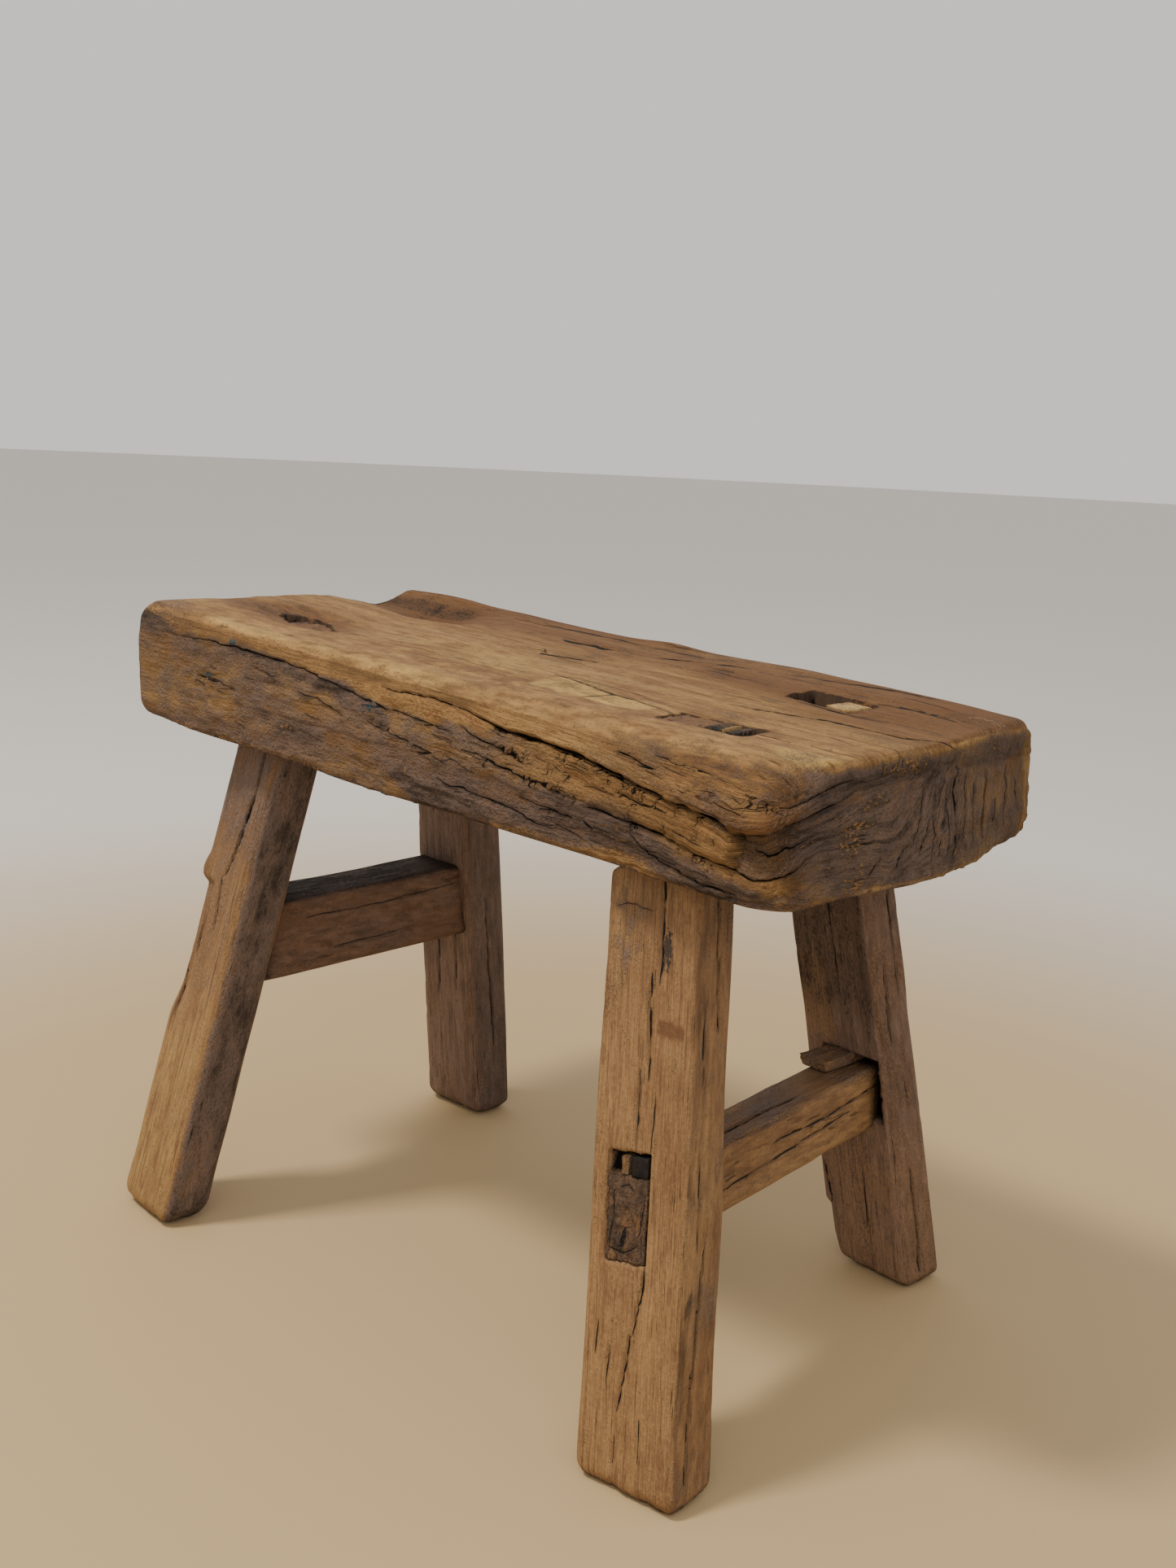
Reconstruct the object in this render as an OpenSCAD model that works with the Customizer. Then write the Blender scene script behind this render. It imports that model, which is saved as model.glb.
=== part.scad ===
/* [Seat plank] */
// length of the plank along its grain, mm
seat_len = 330; // [290:1:380]
// width of the plank from front to rear, mm
seat_wid = 149; // [136:1:180]
// thickness of the plank at its middle, mm
seat_thick = 43.5; // [38:0.5:52]
// height of the plank's top at its middle, mm
seat_height = 239; // [215:1:280]
// lean of the top, down toward the right end, degrees
seat_slope = 2.5; // [0:0.1:4]
// how much less the underside leans than the top, degrees
seat_taper = 0.7; // [0:0.1:1.4]
// how much thinner the plank is at the rear, as a lean of the underside, degrees
rear_thinning = 1.2; // [0:0.1:2]
// how far the left end leans out at the underside, mm
left_flare = 2.9; // [0:0.1:5]
// how far the right end leans out at the underside, mm
right_flare = 5; // [0:0.1:7]
// worn round-over of the front top edge, mm
front_wear = 14; // [6:0.5:20]
// worn round-over of the rear top edge, mm
rear_wear = 6; // [3:0.5:12]
// worn round-over of the end top edges, mm
end_wear = 7; // [3:0.5:12]
// softened lower edges, mm
lower_wear = 3; // [1:0.5:6]
// rounding of the front right corner seen from above, mm
worn_corner = 22; // [10:1:32]
// rounding of the other three corners seen from above, mm
kept_corner = 9; // [4:0.5:16]

/* [Seat damage] */
// depth of the split that runs along the front side, mm
shake_deep = 8; // [3:0.5:14]
// opening of that split at its widest, mm
shake_open = 2.2; // [1:0.1:4]
// depth of the piece broken off under the front right corner, mm
break_deep = 5; // [2:0.5:9]
// length of the broken piece along the front, mm
break_len = 15; // [8:0.5:30]
// length of the broken piece around the right end, mm
break_turn = 34; // [15:1:50]
// distance of the break's upper lip under the top, mm
break_top = 22; // [18:0.5:26]
// height of the break, mm
break_high = 11; // [5:0.5:13]
// depth of the hollow worn over the rear left joint, mm
hollow_deep = 4.5; // [1:0.5:6]
// radius of that hollow, mm
hollow_round = 55; // [40:1:70]
// distance of the hollow's middle from the rear edge, mm
hollow_edge = 27.5; // [22:0.5:36]
// how far the hollow reaches in from the left end, mm
hollow_reach = 70; // [55:1:90]

/* [Leg section] */
// width of a leg at the foot, mm
foot_w = 38.5; // [34:0.5:42]
// width of a leg at the seat, mm
neck_w = 36; // [32:0.5:40]
// depth of a leg from front to rear, mm
leg_d = 22; // [21:0.5:26]
// rounding of a leg's long edges, mm
leg_edge = 2.5; // [1:0.25:5]
// worn rounding of a foot's edges, mm
foot_wear = 3.5; // [2:0.25:7]

/* [Front left leg] */
// distance of the leg's neck from the end of the seat, mm
fl_inset = 65.5; // [58:0.5:74]
// distance of the leg's neck from the front edge of the seat, mm
fl_edge = 38.5; // [33:0.5:42]
// how far the foot stands out past the neck along the seat, mm
fl_splay = 20.5; // [8:0.5:36]
// how far the foot stands out past the neck to the front, mm
fl_rake = 57; // [44:0.5:68]
// turn of the leg about its own length, degrees
fl_turn = -7.5; // [-12:0.5:12]

/* [Front right leg] */
// distance of the leg's neck from the end of the seat, mm
fr_inset = 66; // [58:0.5:74]
// distance of the leg's neck from the front edge of the seat, mm
fr_edge = 36; // [33:0.5:42]
// how far the foot stands out past the neck along the seat, mm
fr_splay = 44; // [26:0.5:50]
// how far the foot stands out past the neck to the front, mm
fr_rake = 50; // [40:0.5:62]
// turn of the leg about its own length, degrees
fr_turn = 5; // [-12:0.5:12]

/* [Rear right leg] */
// distance of the leg's neck from the end of the seat, mm
rr_inset = 66; // [58:0.5:74]
// distance of the leg's neck from the rear edge of the seat, mm
rr_edge = 36; // [33:0.5:42]
// how far the foot stands out past the neck along the seat, mm
rr_splay = 13.5; // [4:0.5:30]
// how far the foot stands out past the neck to the rear, mm
rr_rake = 55.75; // [44:0.25:66]
// turn of the leg about its own length, degrees
rr_turn = -3.5; // [-12:0.5:12]
// rounding of the foot's worn inner edge, mm
rr_heel_wear = 12; // [4:0.5:16]

/* [Rear left leg] */
// distance of the leg's neck from the end of the seat, mm
rl_inset = 66; // [58:0.5:74]
// distance of the leg's neck from the rear edge of the seat, mm
rl_edge = 36; // [33:0.5:42]
// how far the foot stands out past the neck along the seat, mm
rl_splay = 23; // [8:0.5:36]
// how far the foot stands out past the neck to the rear, mm
rl_rake = 43.5; // [36:0.5:60]
// turn of the leg about its own length, degrees
rl_turn = -1; // [-12:0.5:12]

/* [Seat joints] */
// width of a leg's tenon along the seat, mm
tenon_w = 17.5; // [14:0.5:22]
// depth of a leg's tenon from front to rear, mm
tenon_d = 14.5; // [10:0.5:15]
// how far a tenon sits toward the end of the seat from the middle of its leg, mm
tenon_out = 2.5; // [0:0.25:4]
// how far a tenon sits inward from the middle of its leg, mm
tenon_in = 3.2; // [0:0.1:3.5]
// how far a tenon's end lies under the top of the seat, mm
tenon_sink = 2.5; // [0.5:0.25:6]
// thickness of a single seat wedge at the top of the seat, mm
wedge_top = 11; // [8:0.5:15]
// thickness of the three-piece wedge at the top of the seat, mm
stack_top = 14; // [9:0.5:16]
// thickness of either wedge at its lower end, mm
wedge_tip = 5; // [4:0.5:7]
// length of a seat wedge, mm
wedge_len = 30; // [20:1:33]
// how far the rear left tenon and wedge lie under the hollow there, mm
hollow_sink = 3; // [1:0.25:6]
// how far a wedge's end lies under the top of the seat, mm
wedge_sink = 0.6; // [0.2:0.1:3]
// thickness of the pale slip between the dark wedges, mm
slip_thick = 1.3; // [0.8:0.1:2]
// play around every tenon, wedge and shim, mm
joint_gap = 0.12; // [0.05:0.01:0.25]

/* [Left stretcher] */
// depth of the rail along the seat, mm
left_rail_w = 26; // [18:0.5:28]
// height of the rail, mm
left_rail_h = 33; // [26:0.5:36]
// height of its middle above the floor, mm
left_rail_up = 113; // [90:0.5:130]
// thickness of its tenons, mm
left_tenon_w = 13; // [9:0.5:16]
// height of its tenons, mm
left_tenon_h = 22; // [14:0.5:24]
// how far its tenons go past the middle of a leg, mm
left_tenon_past = 3; // [1:0.5:6]

/* [Right stretcher] */
// depth of the rail along the seat, mm
right_rail_w = 20; // [17:0.5:28]
// height of the rail, mm
right_rail_h = 25.5; // [25:0.5:32]
// height of its middle above the floor at the front leg, mm
right_rail_up = 83.5; // [70:0.5:110]
// how far the rail sits toward the middle of the seat at the front leg, mm
right_rail_shift = 4; // [0:0.25:6]
// fall of the rail from the front leg to the rear leg, mm
right_rail_fall = 2; // [0:0.5:6]
// thickness of its through tenons, mm
right_tenon_w = 13.5; // [10:0.5:16]
// height of its through tenons, mm
right_tenon_h = 23; // [14:0.5:24]
// height of the key over the front tenon at the leg's face, mm
key_face = 6.5; // [4:0.5:9]
// height of the key at its inner end, mm
key_tip = 2.5; // [1.5:0.25:3.5]
// width of the key, mm
key_w = 5.5; // [3:0.25:6.5]
// width of the thin slip beside the key, mm
key_slip_w = 1.8; // [1:0.1:2.5]
// thickness of the shim at its free end, mm
shim_head = 5.5; // [4:0.5:9]
// thickness of the shim inside the rear leg, mm
shim_tip = 3; // [2:0.25:4]
// width of the shim, mm
shim_w = 12; // [8:0.5:13]
// length of the shim that lies free on the rail, mm
shim_out = 18; // [8:0.5:22]
// length of the shim inside the rear leg, mm
shim_in = 14; // [8:0.5:16]

/* [Hidden] */

worn_tan = [0.66, 0.50, 0.32];
honey = [0.58, 0.41, 0.24];
umber = [0.42, 0.30, 0.20];
pale_chip = [0.76, 0.64, 0.45];
blue_black = [0.17, 0.17, 0.19];
far = 600;
arc_steps = 7;
tenon_root = 8;
$fn = 96;

// run of the two splits along the front: distance from the right end and depth under the top, mm
upper_shake = [[152, 6], [132, 7.5], [100, 10], [80, 11.5], [59, 15], [39, 18], [21, 20], [12, 22]];
lower_shake = [[77, 27], [58, 28], [42, 29.5], [27, 32], [14, 33]];

seat_shift = seat_thick * sin(seat_slope) / 2;
under_slope = seat_slope - seat_taper;

function neck_z(x) = seat_height - (x - seat_shift) * tan(seat_slope);
rear_left_sink = hollow_deep + hollow_sink;

// foot, neck, turn, neck height, side of the seat along and across, wedge thickness and heel rounding of one leg
function leg_data(along, across, inset, edge, splay, rake, turn, wedge, heel) =
    let (
        neck_x = seat_len / 2 - inset,
        neck_y = seat_wid / 2 - edge
    )
    [along * (neck_x + splay), across * (neck_y + rake), along * neck_x, across * neck_y,
        turn, neck_z(along * neck_x), along, across, wedge, heel];
front_left = leg_data(-1, -1, fl_inset, fl_edge, fl_splay, fl_rake, fl_turn, wedge_top, foot_wear);
front_right = leg_data(1, -1, fr_inset, fr_edge, fr_splay, fr_rake, fr_turn, stack_top, foot_wear);
rear_right = leg_data(1, 1, rr_inset, rr_edge, rr_splay, rr_rake, rr_turn, wedge_top, rr_heel_wear);
rear_left = leg_data(-1, 1, rl_inset, rl_edge, rl_splay, rl_rake, rl_turn, wedge_top, foot_wear);

function axis_point(leg, z) = [
    leg[0] + (leg[2] - leg[0]) * z / leg[5],
    leg[1] + (leg[3] - leg[1]) * z / leg[5],
    z];
function world_lean(leg) = [(leg[2] - leg[0]) / leg[5], (leg[3] - leg[1]) / leg[5]];
function lean_x(leg) = cos(leg[4]) * world_lean(leg)[0] + sin(leg[4]) * world_lean(leg)[1];
function lean_y(leg) = cos(leg[4]) * world_lean(leg)[1] - sin(leg[4]) * world_lean(leg)[0];

// middle of a leg's tenon across and deep, and its outer face, on the leg's own axes
function tenon_x(leg) = leg[6] * tenon_out;
function tenon_y(leg) = -leg[7] * tenon_in;
function tenon_face(leg) = tenon_x(leg) + leg[6] * tenon_w / 2;

left_front_joint = axis_point(front_left, left_rail_up);
left_rear_joint = axis_point(rear_left, left_rail_up);
right_front_joint = axis_point(front_right, right_rail_up) - [right_rail_shift, 0, 0];
right_rear_joint = axis_point(rear_right, right_rail_up - right_rail_fall);

// corner points of an outline, each replaced by an arc of its own radius
function unit(v) = v / norm(v);
function corner_arc(before, point, after, radius) =
    let (
        u = unit(before - point),
        w = unit(after - point),
        half = acos(u * w) / 2,
        mid = point + unit(u + w) * radius / sin(half),
        start = point + u * radius / tan(half) - mid,
        sweep = (180 - 2 * half) * sign(u[0] * w[1] - u[1] * w[0])
    )
    [for (i = [0 : arc_steps])
        let (a = -sweep * i / arc_steps)
        mid + [start[0] * cos(a) - start[1] * sin(a), start[0] * sin(a) + start[1] * cos(a)]];
function soft_outline(points, radii) =
    [for (i = [0 : len(points) - 1])
        let (
            n = len(points),
            before = points[(i + n - 1) % n],
            after = points[(i + 1) % n],
            arc = radii[i] > 0 ? corner_arc(before, points[i], after, radii[i]) : [points[i]]
        )
        for (p = arc) p];

// an outline drawn as seen from the front, made deep along Y
module front_view(outline) {
    rotate([90, 0, 0])
        linear_extrude(height = far, center = true)
            polygon(outline);
}

// an outline drawn as seen from the right end, made long along X
module end_view(outline) {
    rotate([90, 0, 90])
        linear_extrude(height = far, center = true)
            polygon(outline);
}

module on_seat_top() {
    translate([seat_shift, 0, seat_height])
        rotate([0, seat_slope, 0])
            children();
}

module on_underside() {
    translate([seat_shift, 0, seat_height - seat_thick])
        rotate([rear_thinning, under_slope, 0])
            children();
}

module above_underside() {
    on_underside()
        translate([-far / 2, -far / 2, 0])
            cube([far, far, far]);
}

module above_top(depth) {
    on_seat_top()
        translate([-far / 2, -far / 2, -depth])
            cube([far, far, far]);
}

module plank_body() {
    half_l = seat_len / 2;
    half_w = seat_wid / 2;
    deep = 2 * seat_thick;
    left_low = -half_l - 2 * left_flare;
    right_low = half_l + 2 * right_flare;
    intersection() {
        on_seat_top()
            end_view(soft_outline(
                [[-half_w, -deep], [half_w, -deep], [half_w, 0], [-half_w, 0]],
                [0, 0, rear_wear, front_wear]));
        on_underside()
            end_view(soft_outline(
                [[-half_w, 0], [half_w, 0], [half_w, deep], [-half_w, deep]],
                [lower_wear, lower_wear, 0, 0]));
        on_seat_top()
            front_view(soft_outline(
                [[left_low, -deep], [right_low, -deep], [half_l, 0], [-half_l, 0]],
                [0, 0, end_wear, end_wear]));
        on_seat_top()
            translate([0, 0, -deep])
                linear_extrude(height = 2 * deep)
                    polygon(soft_outline(
                        [[-half_l - left_flare, -half_w], [half_l + right_flare, -half_w],
                            [half_l + right_flare, half_w], [-half_l - left_flare, half_w]],
                        [kept_corner, worn_corner, kept_corner, kept_corner]));
    }
}

// a split that runs along the front side, from a fine point at its left end to its full opening
module front_shake(run, open) {
    half_l = seat_len / 2;
    last = len(run) - 1;
    upper = [for (i = [0 : last]) [half_l - run[i][0], -run[i][1] + open * i / last / 2]];
    lower = [for (i = [last : -1 : 1]) [half_l - run[i][0], -run[i][1] - open * i / last / 2]];
    on_seat_top()
        intersection() {
            front_view(concat(upper, lower));
            translate([-far / 2, -far / 2, -far / 2])
                cube([far, far / 2 - seat_wid / 2 + shake_deep, far]);
        }
}

// the room left by the strip that broke off under the front right corner
module corner_break() {
    half_l = seat_len / 2;
    half_w = seat_wid / 2;
    face_x = half_l + right_flare;
    end_x = face_x - break_deep - right_flare / 2;
    on_seat_top()
        translate([0, 0, -break_top - break_high])
            linear_extrude(height = break_high)
                difference() {
                    translate([half_l - break_len, -far])
                        square([far, far - half_w + break_turn]);
                    polygon(soft_outline(
                        [[-half_l, -half_w + break_deep], [end_x, -half_w + break_deep],
                            [face_x, -half_w + break_turn], [face_x, half_w], [-half_l, half_w]],
                        [0, worn_corner - break_deep / 2, 0, 0, 0]));
                }
}

// the trough worn into the top over the rear left joint, running out at the left end
module worn_hollow() {
    on_seat_top()
        translate([hollow_reach - seat_len / 2, seat_wid / 2 - hollow_edge, hollow_round - hollow_deep]) {
            sphere(r = hollow_round);
            rotate([0, -90, 0])
                cylinder(r = hollow_round, h = hollow_reach + left_flare + seat_thick);
        }
}

module at_leg(leg) {
    translate([leg[0], leg[1], 0])
        rotate([0, 0, leg[4]])
            children();
}

// a bar that leans with the leg, between two distances across and two distances deep
module leaning_bar(leg, x0, x1, y0, y1) {
    kx = lean_x(leg) * far;
    ky = lean_y(leg) * far;
    intersection() {
        front_view([[x0, 0], [x1, 0], [x1 + kx, far], [x0 + kx, far]]);
        end_view([[y0, 0], [y1, 0], [y1 + ky, far], [y0 + ky, far]]);
    }
}

module leg_shaft(leg) {
    kx = lean_x(leg) * leg[5];
    ky = lean_y(leg) * leg[5];
    turn_y = atan(lean_x(leg));
    turn_x = -atan(lean_y(leg) * cos(turn_y));
    difference() {
        at_leg(leg)
            intersection() {
                front_view(soft_outline(
                    [[-foot_w / 2, 0], [foot_w / 2, 0], [kx + neck_w / 2, leg[5]], [kx - neck_w / 2, leg[5]]],
                    [leg[9], foot_wear, 0, 0]));
                end_view(soft_outline(
                    [[-leg_d / 2, 0], [leg_d / 2, 0], [ky + leg_d / 2, leg[5]], [ky - leg_d / 2, leg[5]]],
                    [foot_wear, foot_wear, 0, 0]));
                rotate([turn_x, turn_y, 0])
                    translate([0, 0, -far / 4])
                        linear_extrude(height = far)
                            polygon(soft_outline(
                                [[-foot_w / 2, -leg_d / 2], [foot_w / 2, -leg_d / 2],
                                    [foot_w / 2, leg_d / 2], [-foot_w / 2, leg_d / 2]],
                                [leg_edge, leg_edge, leg_edge, leg_edge]));
            }
        above_underside();
    }
}

module tenon_bar(leg, grow) {
    half_w = tenon_w / 2 + grow;
    half_d = tenon_d / 2 + grow;
    leaning_bar(leg, tenon_x(leg) - half_w, tenon_x(leg) + half_w, tenon_y(leg) - half_d, tenon_y(leg) + half_d);
}

module leg_tenon(leg, sink) {
    difference() {
        at_leg(leg)
            tenon_bar(leg, 0);
        above_top(sink);
        below_root();
    }
}

// what lies under the leg's shoulder, past the tenon's root in the shaft
module below_root() {
    on_underside()
        translate([-far / 2, -far / 2, -far - tenon_root])
            cube([far, far, far]);
}

// the room beside a tenon, from one share of the wedge's thickness to another, less or plus some play
module wedge_room(leg, from_share, from_extra, to_share, to_extra, low_play, grow) {
    side = leg[6];
    lean = lean_x(leg);
    thinning = (leg[8] - wedge_tip) / wedge_len;
    top_z = leg[5] + seat_thick / 2;
    low_z = leg[5] - wedge_len + low_play;
    top_t = leg[8] + thinning * (top_z - leg[5]);
    low_t = leg[8] + thinning * (low_z - leg[5]);
    in_top = tenon_face(leg) + side * (from_share * top_t + from_extra) + lean * top_z;
    out_top = tenon_face(leg) + side * (to_share * top_t + to_extra) + lean * top_z;
    in_low = tenon_face(leg) + side * (from_share * low_t + from_extra) + lean * low_z;
    out_low = tenon_face(leg) + side * (to_share * low_t + to_extra) + lean * low_z;
    near_y = tenon_y(leg) - tenon_d / 2 - grow;
    far_y = tenon_y(leg) + tenon_d / 2 + grow;
    ky = lean_y(leg) * far;
    at_leg(leg)
        intersection() {
            front_view([[in_low, low_z], [out_low, low_z], [out_top, top_z], [in_top, top_z]]);
            end_view([[near_y, 0], [far_y, 0], [far_y + ky, far], [near_y + ky, far]]);
        }
}

module seat_wedge(leg, from_share, from_extra, to_share, to_extra, sink) {
    difference() {
        wedge_room(leg, from_share, from_extra, to_share, to_extra, joint_gap, 0);
        above_top(sink);
    }
}

module seat_mortise(leg) {
    at_leg(leg)
        tenon_bar(leg, joint_gap);
    wedge_room(leg, 0, -tenon_w / 2, 1, joint_gap, 0, joint_gap);
}

// a frame with Y along the rail, from its joint in the front leg to that in the rear leg
module along_rail(a, b) {
    run = b - a;
    translate(a)
        rotate([atan2(run[2], norm([run[0], run[1]])), 0, atan2(-run[0], run[1])])
            children();
}

module rail_bar(w, h, edge, y0, y1) {
    translate([0, y0, 0])
        rotate([-90, 0, 0])
            linear_extrude(height = y1 - y0)
                polygon(soft_outline(
                    [[-w / 2, -h / 2], [w / 2, -h / 2], [w / 2, h / 2], [-w / 2, h / 2]],
                    [edge, edge, edge, edge]));
}

module square_bar(w, h, y0, y1) {
    translate([-w / 2, y0, -h / 2])
        cube([w, y1 - y0, h]);
}

module left_mortise() {
    run = norm(left_rear_joint - left_front_joint);
    past = left_tenon_past + joint_gap;
    along_rail(left_front_joint, left_rear_joint)
        square_bar(left_tenon_w + 2 * joint_gap, left_tenon_h + 2 * joint_gap, -past, run + past);
}

module right_mortise() {
    run = norm(right_rear_joint - right_front_joint);
    along_rail(right_front_joint, right_rear_joint)
        square_bar(right_tenon_w + 2 * joint_gap, right_tenon_h + 2 * joint_gap, -foot_w, run + foot_w);
}

// the sloping room over the front tenon, open at the leg's outer face
module key_room(x0, x1, floor_z, roof_play, end_play) {
    half = leg_d / 2;
    slope = (key_face - key_tip) / leg_d;
    face_y = -leg_d;
    tip_y = half - 2 * joint_gap - end_play;
    base = right_tenon_h / 2;
    roof = base + key_tip - roof_play;
    along_rail(right_front_joint, right_rear_joint)
        intersection() {
            end_view([
                [face_y, floor_z], [tip_y, floor_z],
                [tip_y, roof + slope * (half - tip_y)], [face_y, roof + slope * (half - face_y)]]);
            translate([x0, -far / 2, -far / 2])
                cube([x1 - x0, far, far]);
        }
}

// the sloping room over the rear tenon, open at the leg's inner face
module shim_room(half_w, floor_z, roof_play, end_play) {
    run = norm(right_rear_joint - right_front_joint);
    inner = run - leg_d / 2;
    slope = (shim_head - shim_tip) / (shim_out + shim_in);
    start_y = inner - shim_out;
    end_y = inner + shim_in - end_play;
    base = right_rail_h / 2;
    along_rail(right_front_joint, right_rear_joint)
        intersection() {
            end_view([
                [start_y, floor_z], [end_y, floor_z],
                [end_y, base + shim_tip + slope * end_play - roof_play], [start_y, base + shim_head - roof_play]]);
            translate([-half_w, 0, -far / 2])
                cube([2 * half_w, far, far]);
        }
}

module leg_whole(leg, sink) {
    leg_shaft(leg);
    leg_tenon(leg, sink);
}

module seat_plank() {
    color(worn_tan)
        difference() {
            plank_body();
            front_shake(upper_shake, shake_open);
            front_shake(lower_shake, shake_open / 2);
            corner_break();
            worn_hollow();
            seat_mortise(front_left);
            seat_mortise(front_right);
            seat_mortise(rear_right);
            seat_mortise(rear_left);
        }
}

module leg_front_left() {
    color(honey)
        difference() {
            leg_whole(front_left, tenon_sink);
            left_mortise();
        }
}

module leg_front_right() {
    half = right_tenon_w / 2 + joint_gap;
    color(honey)
        difference() {
            leg_whole(front_right, tenon_sink);
            right_mortise();
            key_room(-half, half, 0, 0, 0);
        }
}

module leg_rear_right() {
    color(umber)
        difference() {
            leg_whole(rear_right, tenon_sink);
            right_mortise();
            shim_room(shim_w / 2 + joint_gap, 0, 0, 0);
        }
}

module leg_rear_left() {
    color(umber)
        difference() {
            leg_whole(rear_left, rear_left_sink);
            left_mortise();
        }
}

module stretcher_left() {
    run = norm(left_rear_joint - left_front_joint);
    color(umber)
        union() {
            difference() {
                along_rail(left_front_joint, left_rear_joint)
                    rail_bar(left_rail_w, left_rail_h, leg_edge, 0, run);
                leg_shaft(front_left);
                leg_shaft(rear_left);
            }
            along_rail(left_front_joint, left_rear_joint)
                square_bar(left_tenon_w, left_tenon_h, -left_tenon_past, run + left_tenon_past);
        }
}

module stretcher_right() {
    run = norm(right_rear_joint - right_front_joint);
    color(honey)
        union() {
            difference() {
                along_rail(right_front_joint, right_rear_joint)
                    rail_bar(right_rail_w, right_rail_h, leg_edge, 0, run);
                leg_shaft(front_right);
                leg_shaft(rear_right);
            }
            intersection() {
                along_rail(right_front_joint, right_rear_joint)
                    square_bar(right_tenon_w, right_tenon_h, -foot_w, run + foot_w);
                union() {
                    leg_shaft(front_right);
                    leg_shaft(rear_right);
                    along_rail(right_front_joint, right_rear_joint)
                        square_bar(right_rail_w, right_rail_h, 0, run);
                }
            }
        }
}

module wedge_front_left() {
    color(umber)
        seat_wedge(front_left, 0, joint_gap, 1, 0, tenon_sink);
}

module wedge_rear_left() {
    color(umber)
        seat_wedge(rear_left, 0, joint_gap, 1, 0, rear_left_sink);
}

module wedge_rear_right() {
    color(pale_chip)
        seat_wedge(rear_right, 0, joint_gap, 1, 0, wedge_sink);
}

module wedge_front_right_inner() {
    color(blue_black)
        seat_wedge(front_right, 0, joint_gap, 0.5, -slip_thick / 2 - joint_gap, wedge_sink);
}

module wedge_front_right_slip() {
    color(pale_chip)
        seat_wedge(front_right, 0.5, -slip_thick / 2, 0.5, slip_thick / 2, wedge_sink);
}

module wedge_front_right_outer() {
    color(blue_black)
        seat_wedge(front_right, 0.5, slip_thick / 2 + joint_gap, 1, 0, wedge_sink);
}

module key_front_right() {
    right_edge = right_tenon_w / 2;
    color(blue_black)
        intersection() {
            key_room(right_edge - key_w, right_edge, right_tenon_h / 2 + joint_gap, joint_gap, joint_gap);
            leg_shaft(front_right);
        }
}

module key_slip_front_right() {
    left_edge = right_tenon_w / 2 - key_w - joint_gap - key_slip_w;
    color(pale_chip)
        intersection() {
            key_room(left_edge, left_edge + key_slip_w, right_tenon_h / 2 + joint_gap, joint_gap, joint_gap);
            leg_shaft(front_right);
        }
}

module shim_rear_right() {
    color(honey)
        shim_room(shim_w / 2, right_rail_h / 2 + joint_gap, joint_gap, joint_gap);
}

seat_plank();
leg_front_left();
leg_front_right();
leg_rear_right();
leg_rear_left();
stretcher_left();
stretcher_right();
wedge_front_left();
wedge_rear_left();
wedge_rear_right();
wedge_front_right_inner();
wedge_front_right_slip();
wedge_front_right_outer();
key_front_right();
key_slip_front_right();
shim_rear_right();
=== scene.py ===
"""Looks of a worn elm milking stool, worked out in millimetres and set in the stool's own frame."""

import math
from types import SimpleNamespace

import bpy
import numpy as np
from mathutils import Matrix, Vector


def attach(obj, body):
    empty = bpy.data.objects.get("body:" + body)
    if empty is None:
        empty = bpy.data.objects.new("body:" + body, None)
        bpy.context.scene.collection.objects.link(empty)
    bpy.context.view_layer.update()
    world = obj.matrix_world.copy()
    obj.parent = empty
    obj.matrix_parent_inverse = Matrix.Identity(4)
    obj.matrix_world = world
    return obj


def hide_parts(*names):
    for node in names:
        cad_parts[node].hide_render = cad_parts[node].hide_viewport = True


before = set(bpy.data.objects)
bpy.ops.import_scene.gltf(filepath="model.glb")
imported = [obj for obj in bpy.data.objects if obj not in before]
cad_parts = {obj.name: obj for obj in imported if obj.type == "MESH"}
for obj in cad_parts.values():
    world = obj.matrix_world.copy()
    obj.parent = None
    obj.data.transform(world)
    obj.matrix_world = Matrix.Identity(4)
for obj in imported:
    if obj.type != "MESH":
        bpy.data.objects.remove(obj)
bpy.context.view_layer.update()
MM = 0.001

# Driving sizes of the stool, mm and degrees, as in the part's source
SEAT_LEN = 330.0
SEAT_WID = 149.0
SEAT_THICK = 43.5
SEAT_HEIGHT = 239.0
SEAT_SLOPE = math.radians(2.5)
SEAT_TAPER = math.radians(0.7)
REAR_THINNING = math.radians(1.2)
LEFT_FLARE = 2.9
RIGHT_FLARE = 5.0
FRONT_WEAR = 14.0
REAR_WEAR = 6.0
END_WEAR = 7.0
LOWER_WEAR = 3.0
WORN_CORNER = 22.0
FOOT_W = 38.5
NECK_W = 36.0
LEG_D = 22.0
RAIL_EDGE = 2.5
TENON_W = 17.5
TENON_D = 14.5
TENON_OUT = 2.5
TENON_IN = 3.2
HALF_LEN = SEAT_LEN / 2
HALF_WID = SEAT_WID / 2
SEAT_SHIFT = SEAT_THICK * math.sin(SEAT_SLOPE) / 2


# Height that a leg's shaft is drawn to, and height from which it is stretched to meet the seat
SHAFT_TOP = 196.0
STRETCH_FROM = 150.0
# How far a rail's end goes into a leg
RAIL_INTO = 5.0

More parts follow.
